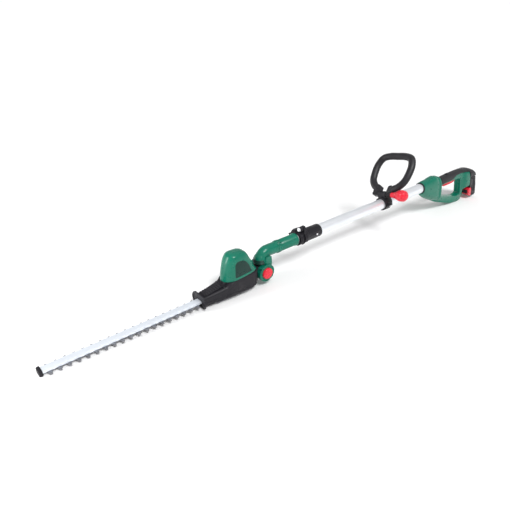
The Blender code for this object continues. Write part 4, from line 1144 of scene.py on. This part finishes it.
def make_battery():
    """The raked pack with two flutes on each side, and its red latch with a ridged pad that is partly a grip and
    partly painted shade of the latch's front face.
    """
    outline = [
        (PACK_FRONT, -32, 6), (PACK_FRONT + 6, PACK_BOTTOM, 6),
        (PACK_REAR - 5, PACK_BOTTOM, 10), (PACK_REAR - 3, 0, 40),
        (PACK_REAR - 6, PACK_TOP, 5), (PACK_FRONT, PACK_TOP, 2),
    ]
    half = PACK_HALF
    cuts = [rake(box(PACK_FRONT - 5, PACK_FRONT + 13, 3.7 - half, half + 5, -60, -6.6))]
    for side in (1, -1):
        for station in (PACK_FRONT + 22, PACK_FRONT + 30):
            groove = [(station, -28), (station + 3, -28), (station + 3, 30), (station, 30)]
            groove = along(rounded(groove, 1.4))
            cuts.append(rake(prism(groove, *span(side, half - 0.8, half + 4), "XZ")))
    pack = rake(prism(along(rounded(outline, 4)), -half, half, "XZ"))
    piece("battery", pack, "battery", "battery_case", ["battery_pack"], cuts, bevel=2.4)
    front = PACK_FRONT
    latch = [(-16, -14, 3), (-2, -7.2, 3), (9, -7.2, 3), (9, -45, 4), (-4, -47, 4), (-16, -36, 6)]
    latch = [(front + s, z, radius) for s, z, radius in latch]
    ridges = rake(box(front - 20, front - 15.6, -21.4, half - 3.6, -35.4, -15.1))
    body = rake(prism(along(rounded(latch, 4)), 4.0 - half, half + 0.6, "XZ"))
    piece("latch", body, "battery_latch", "red_plastic", ["battery_latch"], [ridges], bevel=1.2)
    # Painted shade in part: the black pad covers the latch's front face, where shade falls
    pad = rake(box(front - 16.6, front - 15.2, -21, half - 4, -35, -15.5))
    lines = [rake(box(front - 20, front - 16.0, -19, half - 6, z, z + 1.4)) for z in (-31, -27, -23, -19)]
    piece("latch_pad", pad, "battery_latch", "battery_case", cuts=[merged(*lines)], bevel=0.2)


PIECES = (
    make_tip_and_shield, make_bar, make_gearbox, make_ribbed_cover, make_motor_cover,
    make_knuckle, make_elbow, make_bellows, make_tilt_button, make_sleeve, make_clamp,
    make_collar_and_tube, make_handle_clamp, make_loop, make_knob, make_rear_housing,
    make_soft_grip, make_trigger, make_battery,
)


# -------- stage

FLOOR_RADIUS = 400.0
# How bright the room is, from the horizon at 0 to straight above at 1
SKY = ((0.0, 1.0), (0.24, 1.0), (0.34, 0.28), (0.50, 0.34), (0.72, 0.63), (1.0, 0.66))
LAMP_AIM = Vector((0.35, 0.0, 0.06))
SUN_PLACE = Vector((0.6, 2.0, 3.0))
SUN_ANGLE = math.radians(22)
SUN_POWER = 2.2
STRIP_PLACE = Vector((1.90, -0.50, 0.50))
STRIP_SIZE = (0.35, 0.9)
STRIP_POWER = 16.0
CAMERA_PLACE = Vector((LENGTH / 2 + 163.9, 988.9, 788.9))
CAMERA_AZIMUTH = math.radians(50.20)
CAMERA_ELEVATION = math.radians(29.08)
CAMERA_LENS = 34.588
CAMERA_SENSOR = 36.0


def make_stage():
    """A wide pale floor, a white room with a dim band round it, a soft lamp above and a strip lamp."""
    bm = bmesh.new()
    bmesh.ops.create_circle(bm, cap_ends=True, segments=96, radius=FLOOR_RADIUS)
    floor = to_mesh_object("floor", bm, Matrix())
    paper = Nodes("paper", (0.93, 0.93, 0.935), 0.75)
    shade = paper.spread(paper.noise((0.9, 0.9, 0.9), 2.0), 0.0, 1.0)
    body = paper.mix(shade, (0.92, 0.92, 0.925), (0.95, 0.95, 0.95))
    fibre = paper.noise((900, 900, 900))
    floor.data.materials.append(paper.finish(body, 0.75, fibre, 0.00005))

    world = bpy.data.worlds.new("studio")
    bpy.context.scene.world = world
    world.use_nodes = True
    tree = world.node_tree
    direction = tree.nodes.new("ShaderNodeTexCoord")
    height = tree.nodes.new("ShaderNodeSeparateXYZ")
    ramp = tree.nodes.new("ShaderNodeValToRGB")
    while len(ramp.color_ramp.elements) < len(SKY):
        ramp.color_ramp.elements.new(0.5)
    for element, (position, level) in zip(ramp.color_ramp.elements, SKY):
        element.position = position
        element.color = (level, level, level, 1.0)
    tree.links.new(direction.outputs["Generated"], height.inputs["Vector"])
    tree.links.new(height.outputs["Z"], ramp.inputs["Fac"])
    tree.links.new(ramp.outputs["Color"], tree.nodes["Background"].inputs["Color"])

    sun = bpy.data.lights.new("key", "SUN")
    sun.angle = SUN_ANGLE
    sun.energy = SUN_POWER
    strip = bpy.data.lights.new("strip", "AREA")
    strip.shape = "RECTANGLE"
    strip.size, strip.size_y = STRIP_SIZE
    strip.energy = STRIP_POWER
    for lamp, place in ((sun, SUN_PLACE), (strip, STRIP_PLACE)):
        holder = shown(bpy.data.objects.new(lamp.name, lamp))
        holder.location = place
        holder.rotation_euler = (place - LAMP_AIM).to_track_quat("Z", "Y").to_euler()
        holder.visible_camera = False


def make_camera():
    """The viewer stands on the tool's left, ahead of the pole's middle, and looks down on it."""
    lens = bpy.data.cameras.new("camera")
    lens.sensor_width = CAMERA_SENSOR
    lens.lens = CAMERA_LENS
    camera = shown(bpy.data.objects.new("camera", lens))
    turn = Matrix.Rotation(CAMERA_AZIMUTH + math.pi / 2, 4, "Z")
    turn = turn @ Matrix.Rotation(math.pi / 2 - CAMERA_ELEVATION, 4, "X")
    camera.matrix_world = TOOL @ Matrix.Translation(CAMERA_PLACE) @ turn @ Matrix.Scale(1 / MM, 4)
    bpy.context.scene.camera = camera
    bpy.context.scene.view_settings.view_transform = "Standard"


make_stage()
make_camera()
dress_cad_nodes()
for build in PIECES:
    build()
soften_cad_nodes()
